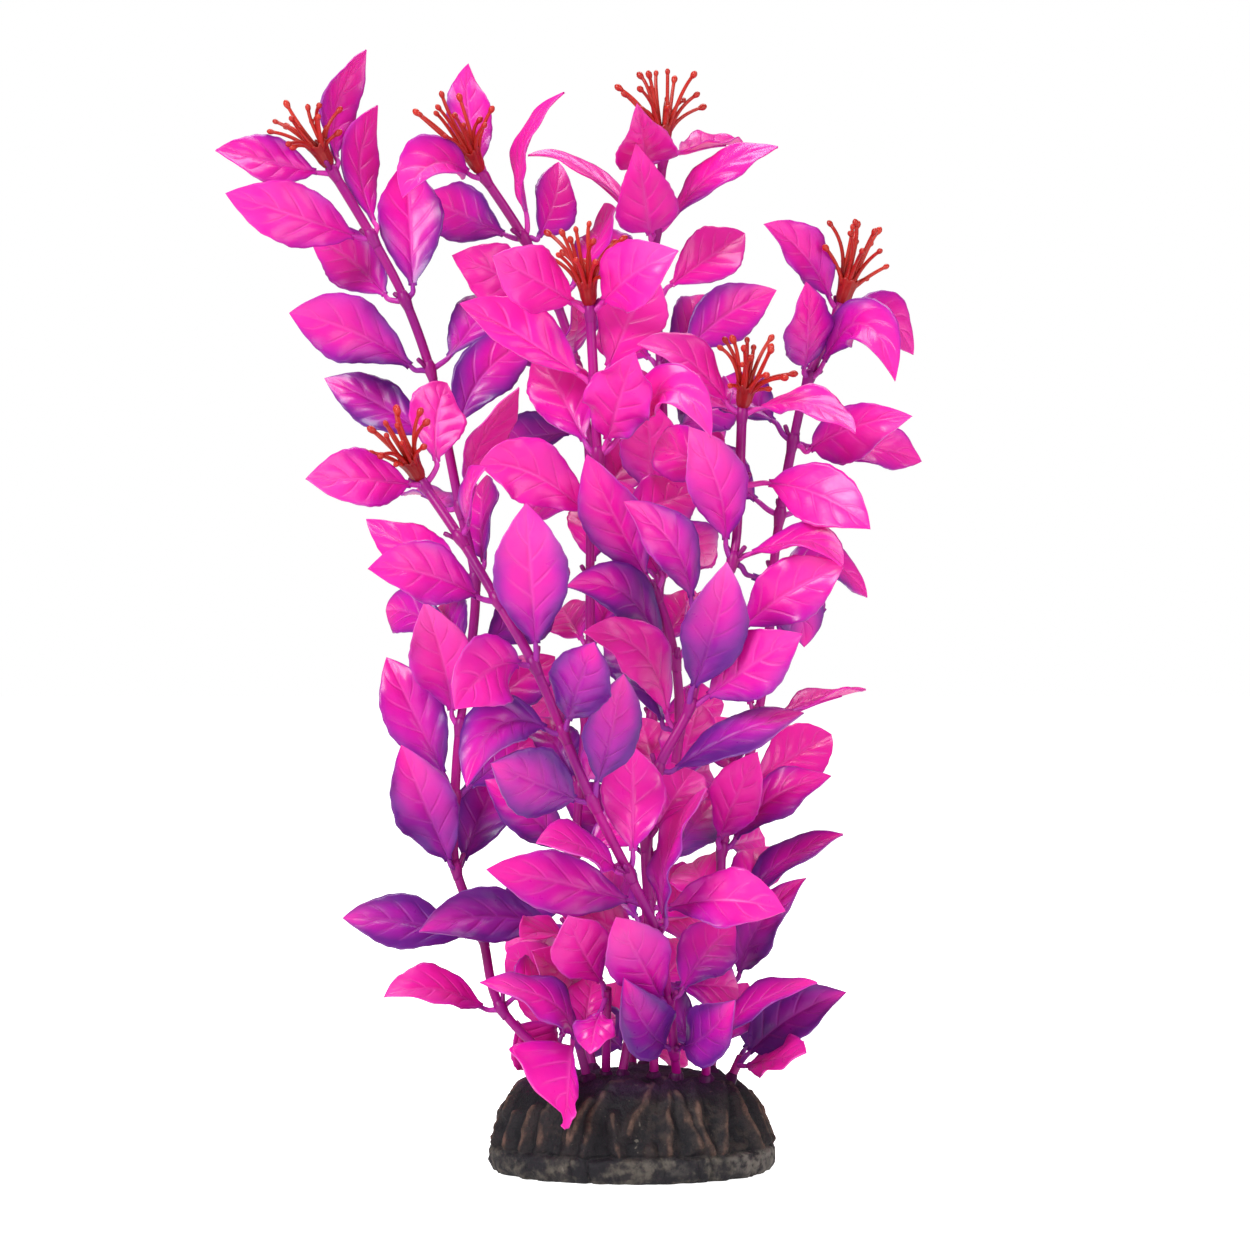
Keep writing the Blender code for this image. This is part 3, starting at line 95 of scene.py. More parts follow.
# One row per leaf: whorl, tip on the sheet, lean (-1 at the eye, +1 away), and
# what differs from a usual leaf: base and mid on the sheet, width w in mm,
# roll in degrees about its length, bend in mm, twist, left and right half widths,
# p how violet it is, s how much painted highlight it gets, k where it is full, size its length.
LEAVES = [
    # stem a, far left
    ("a1", (216, 150), -0.3, dict(base=(322, 173), mid=(270, 165), roll=38, w=16.5, p=.35)),
    ("a1", (369, 51), 0.3, dict(base=(338, 162), mid=(337, 106), roll=-45, w=15.5, p=.45, bend=0)),
    ("a2", (225, 193), -0.3, dict(base=(360, 238), roll=8, w=18, p=.3)),
    ("a2", (382, 107), 0.3, dict(base=(377, 227), mid=(361, 161), roll=-44, w=15.5, p=.3, bend=0)),
    ("a3", (308, 238), 0.5, dict(base=(388, 299), mid=(354, 262), roll=0, w=17, p=.45, k=.85)),
    ("a3", (406, 163), 0.3, dict(base=(413, 292), roll=5, w=19, p=.6)),
    ("a4", (289, 313), -0.3, dict(base=(415, 370), mid=(357, 333), roll=0, w=19.5, p=.6, k=1.3)),
    ("a4", (512, 288), 0.3, dict(base=(446, 360), roll=35, w=16, p=.7)),
    ("a5", (324, 378), 0.2, dict(base=(431, 440), mid=(380, 406), roll=10, w=15, p=.95)),
    ("a5", (545, 336), 0.2, dict(base=(459, 430), mid=(486, 373), roll=10, w=17.5, p=.8)),
    ("a6", (408, 491), 0.95, dict(base=(450, 510), roll=70, w=15, p=.5)),
    ("a6", (521, 391), -0.2, dict(base=(467, 492), mid=(483, 441), roll=-52, w=15.5, p=.1, s=.3, bend=0)),
    ("a7", (366, 519), 0.2, dict(base=(463, 572), mid=(414, 551), roll=25, w=15.5, p=.1, k=.85)),
    ("a7", (486, 474), 0.5, dict(base=(484, 566), roll=50, w=16, p=.5)),
    ("a8", (380, 611), 0.2, dict(base=(461, 647), mid=(420, 618), roll=10, w=14.5, p=.5, k=1.3)),
    ("a8", (560, 592), 0.6, dict(base=(481, 645), roll=0, w=17, p=.9)),
    ("a9", (424, 603), -0.4, dict(base=(452, 716), mid=(443, 657), roll=-8, w=18.5, p=.2, s=.9)),
    ("a9", (556, 655), 0.5, dict(base=(471, 718), roll=20, w=17, p=.5)),
    ("a10", (386, 656), 0.1, dict(base=(446, 779), roll=0, w=18, p=.5)),
    ("a10", (536, 736), 0.5, dict(base=(466, 790), roll=10, w=17, p=.8)),
    ("a11", (401, 745), -0.3, dict(base=(451, 866), roll=-5, w=18.8, p=.65, s=.4)),
    ("a11", (504, 764), 0.3, dict(base=(461, 866), roll=12, w=17.8, p=.7, s=.3)),
    ("a12", (343, 919), -0.1, dict(base=(474, 937), mid=(405, 925), roll=30, w=18, p=1., s=.2)),
    ("a12", (560, 884), 0.6, dict(base=(494, 930), roll=20, w=16, p=.8)),
    ("a13", (385, 991), -0.2, dict(base=(488, 1010), mid=(438, 991), roll=50, w=16.5, p=.0, s=.8, bend=.5)),
    ("a13", (548, 1064), 0.5, dict(base=(511, 1018), roll=10, w=17, p=.0, size=.6)),
    ("a13", (545, 972), 0.6, dict(base=(509, 1002), roll=0, w=15, p=.1)),
    # stem b, second from the left
    ("b1", (402, 197), -0.75, dict(base=(472, 176), mid=(433, 168), roll=38, w=17.5, p=.35)),
    ("b1", (468, 64), 0.4, dict(base=(483, 167), mid=(469, 113), roll=18, w=14, p=.3, bend=0, k=.85)),
    ("b2", (424, 196), 0.4, dict(base=(508, 236), roll=0, w=17.5, p=.6)),
    ("b2", (560, 88), -0.2, dict(base=(527, 218), mid=(521, 152), roll=73, w=14, p=.0, bend=0)),
    ("b2", (560, 160), 0.6, dict(base=(537, 240), mid=(552, 203), roll=-32, w=16, p=.5, bend=1, k=.8)),
    ("b3", (454, 254), -0.4, dict(base=(544, 298), roll=15, w=18, p=.0)),
    ("b3", (604, 204), 0.4, dict(base=(568, 292), mid=(597, 239), roll=57, w=15, p=.4, bend=0)),
    ("b4", (575, 300), -0.5, dict(base=(572, 356), roll=-45, w=14, p=.6)),
    ("b4", (510, 330), 0.6, dict(base=(565, 363), roll=0, w=16, p=.5)),
    ("b5", (491, 446), 0.4, dict(base=(574, 432), roll=25, w=16, p=1.)),
    ("b5", (650, 372), 0.4, dict(base=(600, 428), roll=0, w=16, p=.5)),
    ("b6", (522, 500), 0.5, dict(base=(578, 506), roll=20, w=15, p=.2)),
    ("b6", (640, 440), 0.3, dict(base=(600, 500), roll=0, w=16, p=.3)),
    ("b7", (600, 486), 0.3, dict(base=(592, 566), roll=10, w=17, p=.1)),
    ("b8", (628, 556), 0.3, dict(base=(597, 636), roll=20, w=16, p=.5)),
    ("b8", (560, 604), 0.4, dict(base=(583, 641), roll=0, w=16, p=.1)),
    ("b12", (421, 928), -0.5, dict(base=(556, 926), mid=(486, 919), roll=22, w=17, p=.95)),
    ("b12", (521, 937), -0.9, dict(base=(566, 936), roll=55, w=14, p=.0)),
    ("b13", (532, 951), -0.5, dict(base=(580, 988), roll=10, w=16, p=.1)),
    ("b13", (508, 948), 0.4, dict(base=(570, 998), roll=0, w=16, p=.0)),
    # stem c, at the back
    ("c1", (638, 107), -0.75, dict(base=(648, 168), roll=5, w=18.4, p=.0, s=.2, bend=0, k=.44)),
    ("c1", (746, 143), 0.7, dict(base=(675, 153), mid=(712, 143), roll=76, w=14, p=.0, bend=0)),
    ("c2", (637, 145), -0.6, dict(base=(651, 240), roll=8, w=19, p=.2, s=.2, k=.52)),
    ("c2", (778, 146), 0.1, dict(base=(668, 224), mid=(716, 170), roll=52, w=15.5, p=.2, bend=0)),
    ("c2", (528, 151), 0.1, dict(base=(643, 224), mid=(588, 171), roll=75, w=15, p=.0, bend=0)),
    ("c3", (744, 234), 0.4, dict(base=(667, 288), roll=8, w=17, p=.1)),
    ("c3", (590, 232), 0.5, dict(base=(646, 290), roll=0, w=16, p=.5)),
    ("c4", (777, 290), 0.2, dict(base=(684, 352), mid=(726, 316), roll=5, w=17.5, p=.5, k=.85)),
    ("c4", (724, 440), 0.5, dict(base=(670, 380), roll=10, w=15, p=1.)),
    ("c4", (600, 320), 0.4, dict(base=(652, 360), roll=0, w=16, p=.3)),
    ("c4", (712, 296), 0.7, dict(base=(670, 356), roll=0, w=16, p=.6)),
    ("c5", (740, 392), 0.5, dict(base=(676, 430), roll=0, w=16, p=.6)),
    ("c6", (645, 398), -0.5, dict(base=(655, 497), roll=6, w=19, p=.35)),
    ("c6", (712, 424), 0.3, dict(base=(674, 498), roll=10, w=17, p=.1)),
    ("c7", (708, 536), 0.4, dict(base=(669, 572), roll=0, w=16, p=.1)),
    ("c7", (616, 520), 0.4, dict(base=(651, 572), roll=0, w=16, p=.6)),
    ("c8", (694, 592), 0.4, dict(base=(663, 642), roll=0, w=16, p=.3)),
    ("c8", (618, 596), 0.4, dict(base=(648, 642), roll=0, w=16, p=.1)),
    ("c12", (704, 872), 0.4, dict(base=(655, 920), roll=0, w=17, p=.1)),
    ("c12", (600, 866), 0.4, dict(base=(638, 920), roll=0, w=16, p=.5)),
    ("c13", (694, 940), 0.4, dict(base=(653, 990), roll=0, w=16, p=.2)),
    # stem d, front middle
    ("d1", (492, 256), -0.5, dict(base=(577, 305), roll=15, w=18.5, p=.0, s=.3)),
    ("d1", (677, 250), -0.5, dict(base=(601, 304), roll=20, w=19.5, p=.0, s=.5, bend=4)),
    ("d2", (460, 301), -0.1, dict(base=(584, 378), roll=22, w=18.5, p=.0, lh=.6, rh=1.15)),
    ("d2", (652, 268), 0.5, dict(base=(606, 372), roll=0, w=20, p=.05)),
    ("d3", (538, 352), 0.3, dict(base=(587, 446), roll=10, w=18, p=.1)),
    ("d3", (634, 354), -0.4, dict(base=(606, 444), roll=5, w=19, p=.25, ruf=1.)),
    ("d3", (711, 438), -0.2, dict(base=(612, 446), mid=(672, 393), roll=35, w=15, p=.1, s=.3)),
    ("d4", (479, 466), -0.3, dict(base=(594, 520), mid=(531, 474), roll=10, w=18.5, p=.1)),
    ("d4", (697, 491), 0.3, dict(base=(620, 520), roll=20, w=17, p=.3)),
    ("d5", (586, 455), -0.3, dict(base=(648, 580), roll=-15, w=17.5, p=.6)),
    ("d5", (609, 477), 0.1, dict(base=(662, 578), roll=-20, w=16, p=.3)),
    ("d6", (566, 587), -0.1, dict(base=(663, 654), mid=(622, 595), roll=25, w=15.5, p=.9)),
    ("d6", (730, 592), 0.3, dict(base=(684, 650), roll=0, w=16, p=.3)),
    ("d7", (583, 632), -0.1, dict(base=(668, 720), mid=(638, 652), roll=25, w=16, p=.1)),
    ("d7", (601, 643), 0.3, dict(base=(664, 728), mid=(640, 672), roll=10, w=16, p=1.)),
    ("d8", (700, 700), 0.3, dict(base=(676, 790), roll=10, w=17, p=.2)),
    ("d8", (640, 715), 0.3, dict(base=(662, 790), roll=0, w=17, p=.1)),
    ("d9", (715, 800), 0.3, dict(base=(666, 862), roll=10, w=17, p=.8)),
    ("d10", (560, 905), -0.2, dict(base=(634, 938), roll=10, w=17, p=.0)),
    # stem e, right
    ("e1", (766, 223), -0.4, dict(base=(832, 303), mid=(805, 257), roll=32, w=15, p=.45, bend=.5)),
    ("e1", (914, 355), 0.3, dict(base=(849, 311), mid=(886, 317), roll=46, w=15.5, p=.3, bend=.5)),
    ("e2", (807, 282), -0.2, dict(base=(804, 373), roll=-38, w=17, p=.55, k=.8)),
    ("e2", (897, 379), -0.2, dict(base=(819, 371), mid=(865, 326), roll=28, w=16, p=.5)),
    ("e3", (718, 378), 0.5, dict(base=(777, 424), roll=20, w=16, p=.8)),
    ("e3", (911, 415), -0.3, dict(base=(806, 452), mid=(855, 428), roll=15, w=16.5, p=.4, s=.3, lh=.8, rh=1.25, k=.8)),
    ("e3", (923, 461), 0.4, dict(base=(806, 446), mid=(868, 450), roll=32, w=15.5, p=.4)),
    ("e4", (690, 448), 0.4, dict(base=(760, 503), roll=10, w=16, p=.7)),
    ("e4", (860, 492), 0.4, dict(base=(792, 513), roll=10, w=16, p=.4)),
    ("e5", (873, 596), 0.2, dict(base=(783, 565), mid=(827, 562), roll=46, w=15, p=.5, bend=0)),
    ("e6", (812, 580), 0.3, dict(base=(776, 640), roll=0, w=16, p=.5)),
    ("e7", (866, 688), 0.0, dict(base=(769, 720), mid=(821, 698), roll=78, w=14.5, p=.0, bend=0)),
    ("e7", (735, 640), 0.3, dict(base=(752, 708), roll=0, w=17, p=.0)),
    ("e8", (832, 734), 0.3, dict(base=(752, 783), roll=8, w=17.5, p=.0)),
    ("e8", (716, 716), 0.5, dict(base=(735, 776), roll=0, w=16, p=.2)),
    ("e9", (831, 777), -0.1, dict(base=(732, 844), mid=(775, 798), roll=32, w=15, p=.5, bend=.5)),
    ("e9", (757, 752), -0.1, dict(base=(718, 842), roll=15, w=16, p=.1)),
    ("e10", (843, 834), 0.0, dict(base=(738, 910), mid=(783, 861), roll=53, w=14.5, p=.6, bend=0)),
    ("e10", (780, 846), 0.4, dict(base=(728, 905), roll=20, w=15, p=.1)),
    ("e10", (690, 858), 0.5, dict(base=(716, 908), roll=0, w=17, p=.0)),
    ("e11", (805, 877), -0.1, dict(base=(738, 978), mid=(763, 925), roll=32, w=15.5, p=.6, k=.7)),
    # stem f, right front
    ("f1", (639, 342), -0.4, dict(base=(729, 407), mid=(689, 366), roll=44, w=15.5, p=.0, s=.8)),
    ("f1", (692, 398), 0.9, dict(base=(732, 410), roll=40, w=15, p=.3)),
    ("f1", (855, 434), -0.1, dict(base=(754, 410), mid=(808, 403), roll=58, w=15.5, p=.0, bend=0)),
    ("f2", (870, 528), -0.3, dict(base=(763, 483), mid=(820, 496), roll=8, w=17.5, p=.1)),
    ("f2", (655, 440), 0.5, dict(base=(729, 480), roll=0, w=16, p=.4)),
    ("f3", (690, 427), -0.4, dict(base=(726, 546), mid=(716, 483), roll=10, w=17, p=.4, s=.6)),
    ("f3", (842, 567), -0.1, dict(base=(744, 556), mid=(803, 540), roll=60, w=15.5, p=.15, bend=0)),
    ("f3", (804, 646), 0.55, dict(base=(746, 574), mid=(790, 600), roll=5, w=16, p=.9)),
    ("f4", (623, 502), -0.3, dict(base=(692, 604), mid=(670, 545), roll=25, w=15.5, p=.5)),
    ("f4", (844, 566), -0.3, dict(base=(738, 632), mid=(790, 592), roll=5, w=18, p=.2)),
    ("f5", (727, 564), -0.45, dict(base=(691, 692), mid=(714, 628), roll=-5, w=18, p=.7, s=.8)),
    ("f5", (800, 634), -0.1, dict(base=(704, 699), roll=10, w=18.5, p=.3)),
    ("f6", (804, 714), -0.1, dict(base=(670, 772), mid=(736, 735), roll=50, w=17, p=.9, s=.2, bend=.5)),
    ("f7", (694, 768), 0.4, dict(base=(654, 832), roll=10, w=16, p=.1)),
    ("f8", (487, 868), -0.3, dict(base=(634, 902), roll=22, w=18.5, p=.3)),
    ("f8", (785, 910), -0.3, dict(base=(664, 910), mid=(722, 902), roll=18, w=17.2, p=.1, k=1.2)),
    ("f9", (742, 988), 0.05, dict(base=(670, 985), roll=15, w=15, p=.3, size=.8)),
    # stem g, the long front stem
    ("g1", (306, 478), -0.3, dict(base=(415, 485), mid=(361, 482), roll=25, w=17.5, p=.2, s=.7)),
    ("g1", (447, 383), 0.4, dict(base=(437, 466), mid=(435, 421), roll=-18, w=17.2, p=.1)),
    ("g2", (481, 466), -0.6, dict(base=(467, 528), roll=72, w=13, p=.4)),
    ("g3", (369, 567), -0.3, dict(base=(482, 599), mid=(426, 576), roll=20, w=17.5, p=.35, s=.5)),
    ("g3", (562, 556), 0.4, dict(base=(508, 596), roll=0, w=15, p=.3)),
    ("g4", (526, 503), -0.2, dict(base=(536, 650), roll=0, w=20.5, p=.6, s=.6)),
    ("g4", (456, 709), -0.6, dict(base=(524, 665), mid=(484, 672), roll=-12, w=20, p=.2)),
    ("g5", (595, 641), -0.2, dict(base=(567, 724), roll=8, w=17.5, p=.8)),
    ("g5", (466, 787), -0.4, dict(base=(553, 733), mid=(500, 729), roll=30, w=17, p=.8, s=.3)),
    ("g6", (492, 764), -0.4, dict(base=(580, 801), roll=0, w=19.5, p=.8)),
    ("g6", (623, 673), -0.4, dict(base=(596, 788), roll=-22, w=16.5, p=.8, s=.2)),
    ("g7", (537, 840), -0.5, dict(base=(618, 872), mid=(580, 850), roll=55, w=16, p=.2, s=.4)),
    ("g7", (632, 745), 0.1, dict(base=(633, 858), roll=5, w=18, p=.1)),
    ("g8", (706, 787), -0.1, dict(base=(666, 924), mid=(667, 857), roll=62, w=14, p=.3, bend=0)),
    ("g9", (736, 926), 0.1, dict(base=(680, 994), mid=(704, 955), roll=5, w=17, p=.3)),
    ("g9", (616, 917), -0.45, dict(base=(663, 1001), roll=0, w=18.5, p=.3, s=.5, k=1.15)),
    ("g10", (624, 978), -0.1, dict(base=(668, 1047), mid=(640, 1020), roll=15, w=17, p=.9, k=.8)),
    ("g10", (735, 1000), -0.1, dict(base=(681, 1047), mid=(712, 1032), roll=20, w=17, p=.8, k=.8)),
    # leafy shoots in the base
    ("j1", (568, 915), -0.7, dict(base=(603, 984), mid=(581, 949), roll=5, w=17.2, p=.15, s=.4, k=1.2)),
    ("j1", (590, 1054), -0.3, dict(base=(603, 1006), roll=20, w=12, p=.1, size=.5)),
    ("l1", (480, 982), -0.3, dict(base=(575, 1042), mid=(545, 1003), roll=45, w=15, p=.4, s=.4)),
    ("l1", (565, 1127), -0.45, dict(base=(573, 1037), roll=0, w=18.5, p=.0, lh=.25, rh=1.6, torn=1., bend=0, k=.78)),
    ("l1", (594, 972), 0.05, dict(base=(582, 1040), roll=0, w=13, p=.0, size=.62)),
    ("m1", (640, 978), 0.3, dict(base=(702, 1054), roll=10, w=14, p=.8)),
    ("m1", (748, 982), 0.2, dict(base=(712, 1052), roll=5, w=15, p=.25, size=.7)),
    ("m1", (817, 981), -0.2, dict(base=(711, 1050), mid=(754, 1004), roll=60, w=15, p=.5, s=.2, bend=0)),
    ("n1", (846, 991), -0.1, dict(base=(746, 1056), mid=(792, 1020), roll=26, w=18, p=1., k=.8)),
    ("n1", (782, 1000), 0.1, dict(base=(743, 1052), roll=0, w=17, p=.9, k=.75)),
    ("n1", (806, 1052), -0.7, dict(base=(742, 1066), mid=(776, 1058), roll=56, w=15, p=.0, bend=0)),
    ("o1", (598, 984), 0.3, dict(base=(636, 1046), roll=0, w=17, p=.1)),
    ("o1", (668, 972), 0.5, dict(base=(643, 1044), roll=0, w=17, p=.0)),
    ("o1", (690, 1040), 0.5, dict(base=(646, 1050), roll=0, w=15, p=.0)),
    ("o1", (584, 1018), 0.2, dict(base=(625, 1050), roll=0, w=17, p=1., k=.8)),
    ("q1", (538, 968), 0.7, dict(base=(553, 1042), roll=0, w=16, p=.0)),
    ("q1", (584, 978), 0.4, dict(base=(560, 1040), roll=0, w=15, p=.3)),
    ("c6", (712, 566), 0.3, dict(base=(670, 514), roll=0, w=16, p=.5)),
    ("a8", (438, 606), 0.3, dict(base=(467, 644), roll=0, w=15, p=.5, size=.8)),
    ("c9", (726, 704), 0.4, dict(base=(659, 715), roll=0, w=16, p=.3)),
    ("c10", (716, 768), 0.4, dict(base=(657, 784), roll=0, w=16, p=.6)),
    ("b9", (532, 698), 0.3, dict(base=(580, 714), roll=0, w=16, p=.4)),
    ("e9", (764, 838), 0.3, dict(base=(728, 847), roll=0, w=15, p=.2, size=.8)),
    ("c12", (702, 914), 0.4, dict(base=(652, 925), roll=0, w=15, p=.1)),
    ("b12", (506, 950), 0.3, dict(base=(564, 930), roll=0, w=15, p=.1)),
]

# ---------------------------------------------------------------- geometry
def at(u, v, y):
    """The point at depth y that shows at (u, v) on the sheet."""
    d = y - EYE.y
    return Vector((EYE.x + (u - 625.0) / SHEET * d, y, EYE.z - (v - 625.0) / SHEET * d))


def on_sheet(p):
    d = p.y - EYE.y
    return (625.0 + (p.x - EYE.x) / d * SHEET, 625.0 + (EYE.z - p.z) / d * SHEET)


def smooth_path(points, steps):
    """Catmull-Rom points through the given ones, steps to a span."""
    if steps < 2:
        return list(points)
    out = []
    n = len(points)
    for i in range(n - 1):
        p0 = points[max(i - 1, 0)]
        p1, p2 = points[i], points[i + 1]
        p3 = points[min(i + 2, n - 1)]
        for k in range(steps):
            t = k / steps
            out.append(0.5 * ((2 * p1) + (p2 - p0) * t + (2 * p0 - 5 * p1 + 4 * p2 - p3) * t * t
                              + (3 * p1 - p0 - 3 * p2 + p3) * t ** 3))
    out.append(points[-1].copy())
    return out


def stem_points(row):
    return [at(u, v, d * 0.001) for u, v, d in row]


PATHS = {k: stem_points(row) for k, row in {**STEMS, **SHOOTS}.items()}


def bezier(a, c, b, t):
    return a * (1 - t) ** 2 + c * (2 * t * (1 - t)) + b * t * t


class Leaf:
    """A leaf between its base and tip on the sheet. depth and bow are what may give
    when leaves spring clear of each other; the outline on the sheet stays."""

    def __init__(self, name, whorl, tip, lean, base, mid=None, roll=0., w=17., bend=None,
                 twist=0., lh=1., rh=1., p=0., s=0., ruf=0., torn=0., size=1., k=1., depth=None):
        self.name, self.whorl, self.tip, self.base, self.mid = name, whorl, tip, base, mid
        stem, index = whorl
        self.hub = PATHS[stem][index]
        y0 = self.hub.y
        flat = (at(*tip, y0) - at(*base, y0)).length
        lean = max(-0.97, min(0.97, lean))
        # The stalk leaves the hub's skin in front of the stem, beside it or behind it.
        path = PATHS[stem]
        run = path[max(index - 1, 0)] - path[min(index + 1, len(path) - 1)]
        off = at(*base, y0) - self.hub
        aside = abs(off.x * run.z - off.z * run.x) / math.hypot(run.x, run.z)
        out = max(abs(lean) * 0.002, math.sqrt(max(0., 0.0025 ** 2 - aside ** 2)))
        self.y0 = y0 + (-out if lean < 0 else out)
        self.filler = depth is not None
        if self.filler:
            self.y0 = y0 + out * (-1 if depth < 0 else 1)
        reach = flat * lean / math.sqrt(1 - lean * lean) if depth is None else depth
        if depth is None:
            # A leaf that shows short is a full leaf that points to or from the eye.
            full = size * BLADE_L * (0.97 + 0.05 * math.sin(7.3 * tip[0] + 3.1 * tip[1]))
            deep = 0.9 * math.sqrt(max(0., full ** 2 - flat ** 2))
            reach = max(abs(reach), deep) * (-1 if lean < 0 else 1)
        most = math.sqrt(max(0.047 ** 2 - flat ** 2, 1e-6))
        self.reach = max(-most, min(most, reach))
        self.most = max(most, abs(self.reach))
        self.start_reach = self.reach
        self.bow = 0.
        self.roll, self.w = roll, w * 0.00094
        self.bend = (1.6 if bend is None else bend) * 0.001
        self.twist, self.lh, self.rh = twist, lh, rh
        self.p, self.s, self.ruf, self.torn, self.k = p, s, ruf, torn, k
        self.left = tip[0] < base[0]

    def midrib(self):
        """Base, control point and tip of the midrib."""
        b = at(*self.base, self.y0)
        t = at(*self.tip, self.y0 + self.reach)
        ymid = self.y0 + 0.5 * self.reach + self.bow
        if self.mid is None:
            u, v = on_sheet(0.5 * (b + t))
        else:
            u, v = self.mid
        m = at(u, v, ymid)
        along = (t - b).normalized()
        eye = (EYE - m).normalized()
        side = along.cross(eye).normalized()
        roll = math.radians(self.roll) * (-1 if self.left else 1)
        normal = (side.cross(along)).normalized()
        m = m + (normal * math.cos(roll) - side * math.sin(roll)) * self.bend
        return b, 2 * m - 0.5 * (b + t), t

    def width(self, s):
        return 0.5 * self.w * outline(max(s, 0.) ** self.k)

    def surface(self, rows, cols, detail=None, shrink=0.):
        """Rows of points across the leaf, from the collar to the tip, and the normals.
        rows are lengths along the leaf from 0 to 1, cols are places across from -1 to 1."""
        b, c, t = self.midrib()
        length = (t - b).length
        stalk = min(0.30, PETIOLE / length)
        side0 = None
        grid, normals = [], []
        for r in rows:
            p = bezier(b, c, t, r)
            along = (2 * (1 - r) * (c - b) + 2 * r * (t - c)).normalized()
            eye = (EYE - p).normalized()
            side = along.cross(eye)
            if side.length < 1e-5:
                side = side0 or Vector((1, 0, 0))
            side.normalize()
            side0 = side
            normal = side.cross(along).normalized()
            roll = math.radians(self.roll + self.twist * (r - 0.4)) * (-1 if self.left else 1)
            sd = side * math.cos(roll) + normal * math.sin(roll)
            nm = normal * math.cos(roll) - side * math.sin(roll)
            s = (r - stalk) / (1 - stalk)
            half = max(self.width(s), 0.00085 * (1 - 0.3 * max(0, r / stalk if stalk else 0)) if s < 0.06 else 0.)
            half = max(half - shrink, 0.0002) if r < 1 else 0.
            row = []
            for x in cols:
                h = half * (self.lh if x < 0 else self.rh)
                lift = CUP * h * x * x
                q = p + sd * (x * h) + nm * lift
                if detail is not None:
                    q += nm * detail(self, s, x, h)
                row.append(q)
            grid.append(row)
            normals.append(nm)
        return grid, normals


CUP = 0.10
# Half width of a blade along its length. A leaf's k over 1 is fuller to the tip, under 1 to the base.
OUTLINE = ((0, 0.13), (0.04, 0.27), (0.10, 0.45), (0.18, 0.62), (0.28, 0.81), (0.37, 0.94), (0.46, 1), (0.56, 0.97),
           (0.67, 0.85), (0.78, 0.64), (0.88, 0.385), (0.95, 0.17), (1, 0))


def outline(s):
    """The outline's share of the full half width at s, on a smooth curve through its points."""
    s = min(max(s, 0.), 1.)
    k = 0
    while k < len(OUTLINE) - 2 and OUTLINE[k + 1][0] < s:
        k += 1
    (x1, y1), (x2, y2) = OUTLINE[k], OUTLINE[k + 1]
    x0, y0 = OUTLINE[k - 1] if k else (x1, y1)
    x3, y3 = OUTLINE[k + 2] if k + 2 < len(OUTLINE) else (x2, y2)
    span = x2 - x1
    m1 = (y2 - y0) / (x2 - x0) * span
    m2 = (y3 - y1) / (x3 - x1) * span
    t = (s - x1) / span
    return max(0., (2 * t ** 3 - 3 * t * t + 1) * y1 + (t ** 3 - 2 * t * t + t) * m1
               + (3 * t * t - 2 * t ** 3) * y2 + (t ** 3 - t * t) * m2)



def whorl_of(key):
    return key[0], int(key[1:]) - 1


def all_leaves():
    """The leaves of the table, then a pair by rule at each whorl that has none, each
    pair a quarter turn on from the last."""
    found, seen = [], {}
    for key, tip, lean, more in LEAVES:
        whorl = whorl_of(key)
        n = seen[whorl] = seen.get(whorl, 0) + 1
        found.append(Leaf(f"{key}_{n}", whorl, tip, lean, **more))
    for stem, path in STEMS.items():
        for index in range(len(path) - 1):
            for turn, more in FILLERS.get((stem, index + 1), FILL if (stem, index) not in seen else ()):
                points = PATHS[stem]
                hub = points[index]
                up = (points[max(index - 1, 0)] - points[min(index + 1, len(points) - 1)]).normalized()
                out = Vector((math.cos(turn + index * 1.25), math.sin(turn + index * 1.25), 0))
                out = (out - up * out.dot(up)).normalized()
                aim = (out * 0.80 + up * 0.60).normalized()
                base = hub + aim * HUB_R * 1.15
                tip = hub + aim * (BLADE_L * more.get("l", 0.92))
                n = seen[(stem, index)] = seen.get((stem, index), 0) + 1
                found.append(Leaf(f"{stem}{index + 1}_{n}", (stem, index), on_sheet(tip), 0.0, on_sheet(base),
                                  roll=more.get("roll", 18.), w=15.5, p=more.get("p", 0.5),
                                  depth=tip.y - base.y, bend=2.0))
    return found


FILL = ((0.3, dict(p=0.25)), (0.3 + math.pi, dict(p=0.7)))
FILLERS = {("d", 11): (), ("c", 13): ((-0.86, dict(p=0.2)),)}


# ------------------------------------------------- how the leaves spring clear
PROBE_ROWS = (0.14, 0.3, 0.48, 0.66, 0.84, 1.0)
PROBE_HALF = 0.00090      # half the thickness of a blade, and the clearance it keeps


def slab(leaf, rows, half, shrink=0., cols=(-1, 0, 1)):
    """Vertices and faces of the leaf as a closed slab of that half thickness."""
    grid, normals = leaf.surface(rows, cols, shrink=shrink)
    n, m = len(rows), len(cols)
    front = [p + nm * half for row, nm in zip(grid, normals) for p in row]
    back = [p - nm * half for row, nm in zip(grid, normals) for p in row]
    k = n * m
    faces = []
    for i in range(n - 1):
        for j in range(m - 1):
            a = i * m + j
            faces.append((a, a + 1, a + m + 1, a + m))
            faces.append((k + a, k + a + m, k + a + m + 1, k + a + 1))
        for j, flip in ((0, False), (m - 1, True)):
            a = i * m + j
            faces.append((a, a + m, k + a + m, k + a) if not flip else (a, k + a, k + a + m, a + m))
    for i in (0, n - 1):
        for j in range(m - 1):
            a = i * m + j
            faces.append((a, k + a, k + a + 1, a + 1))
    return front + back, faces


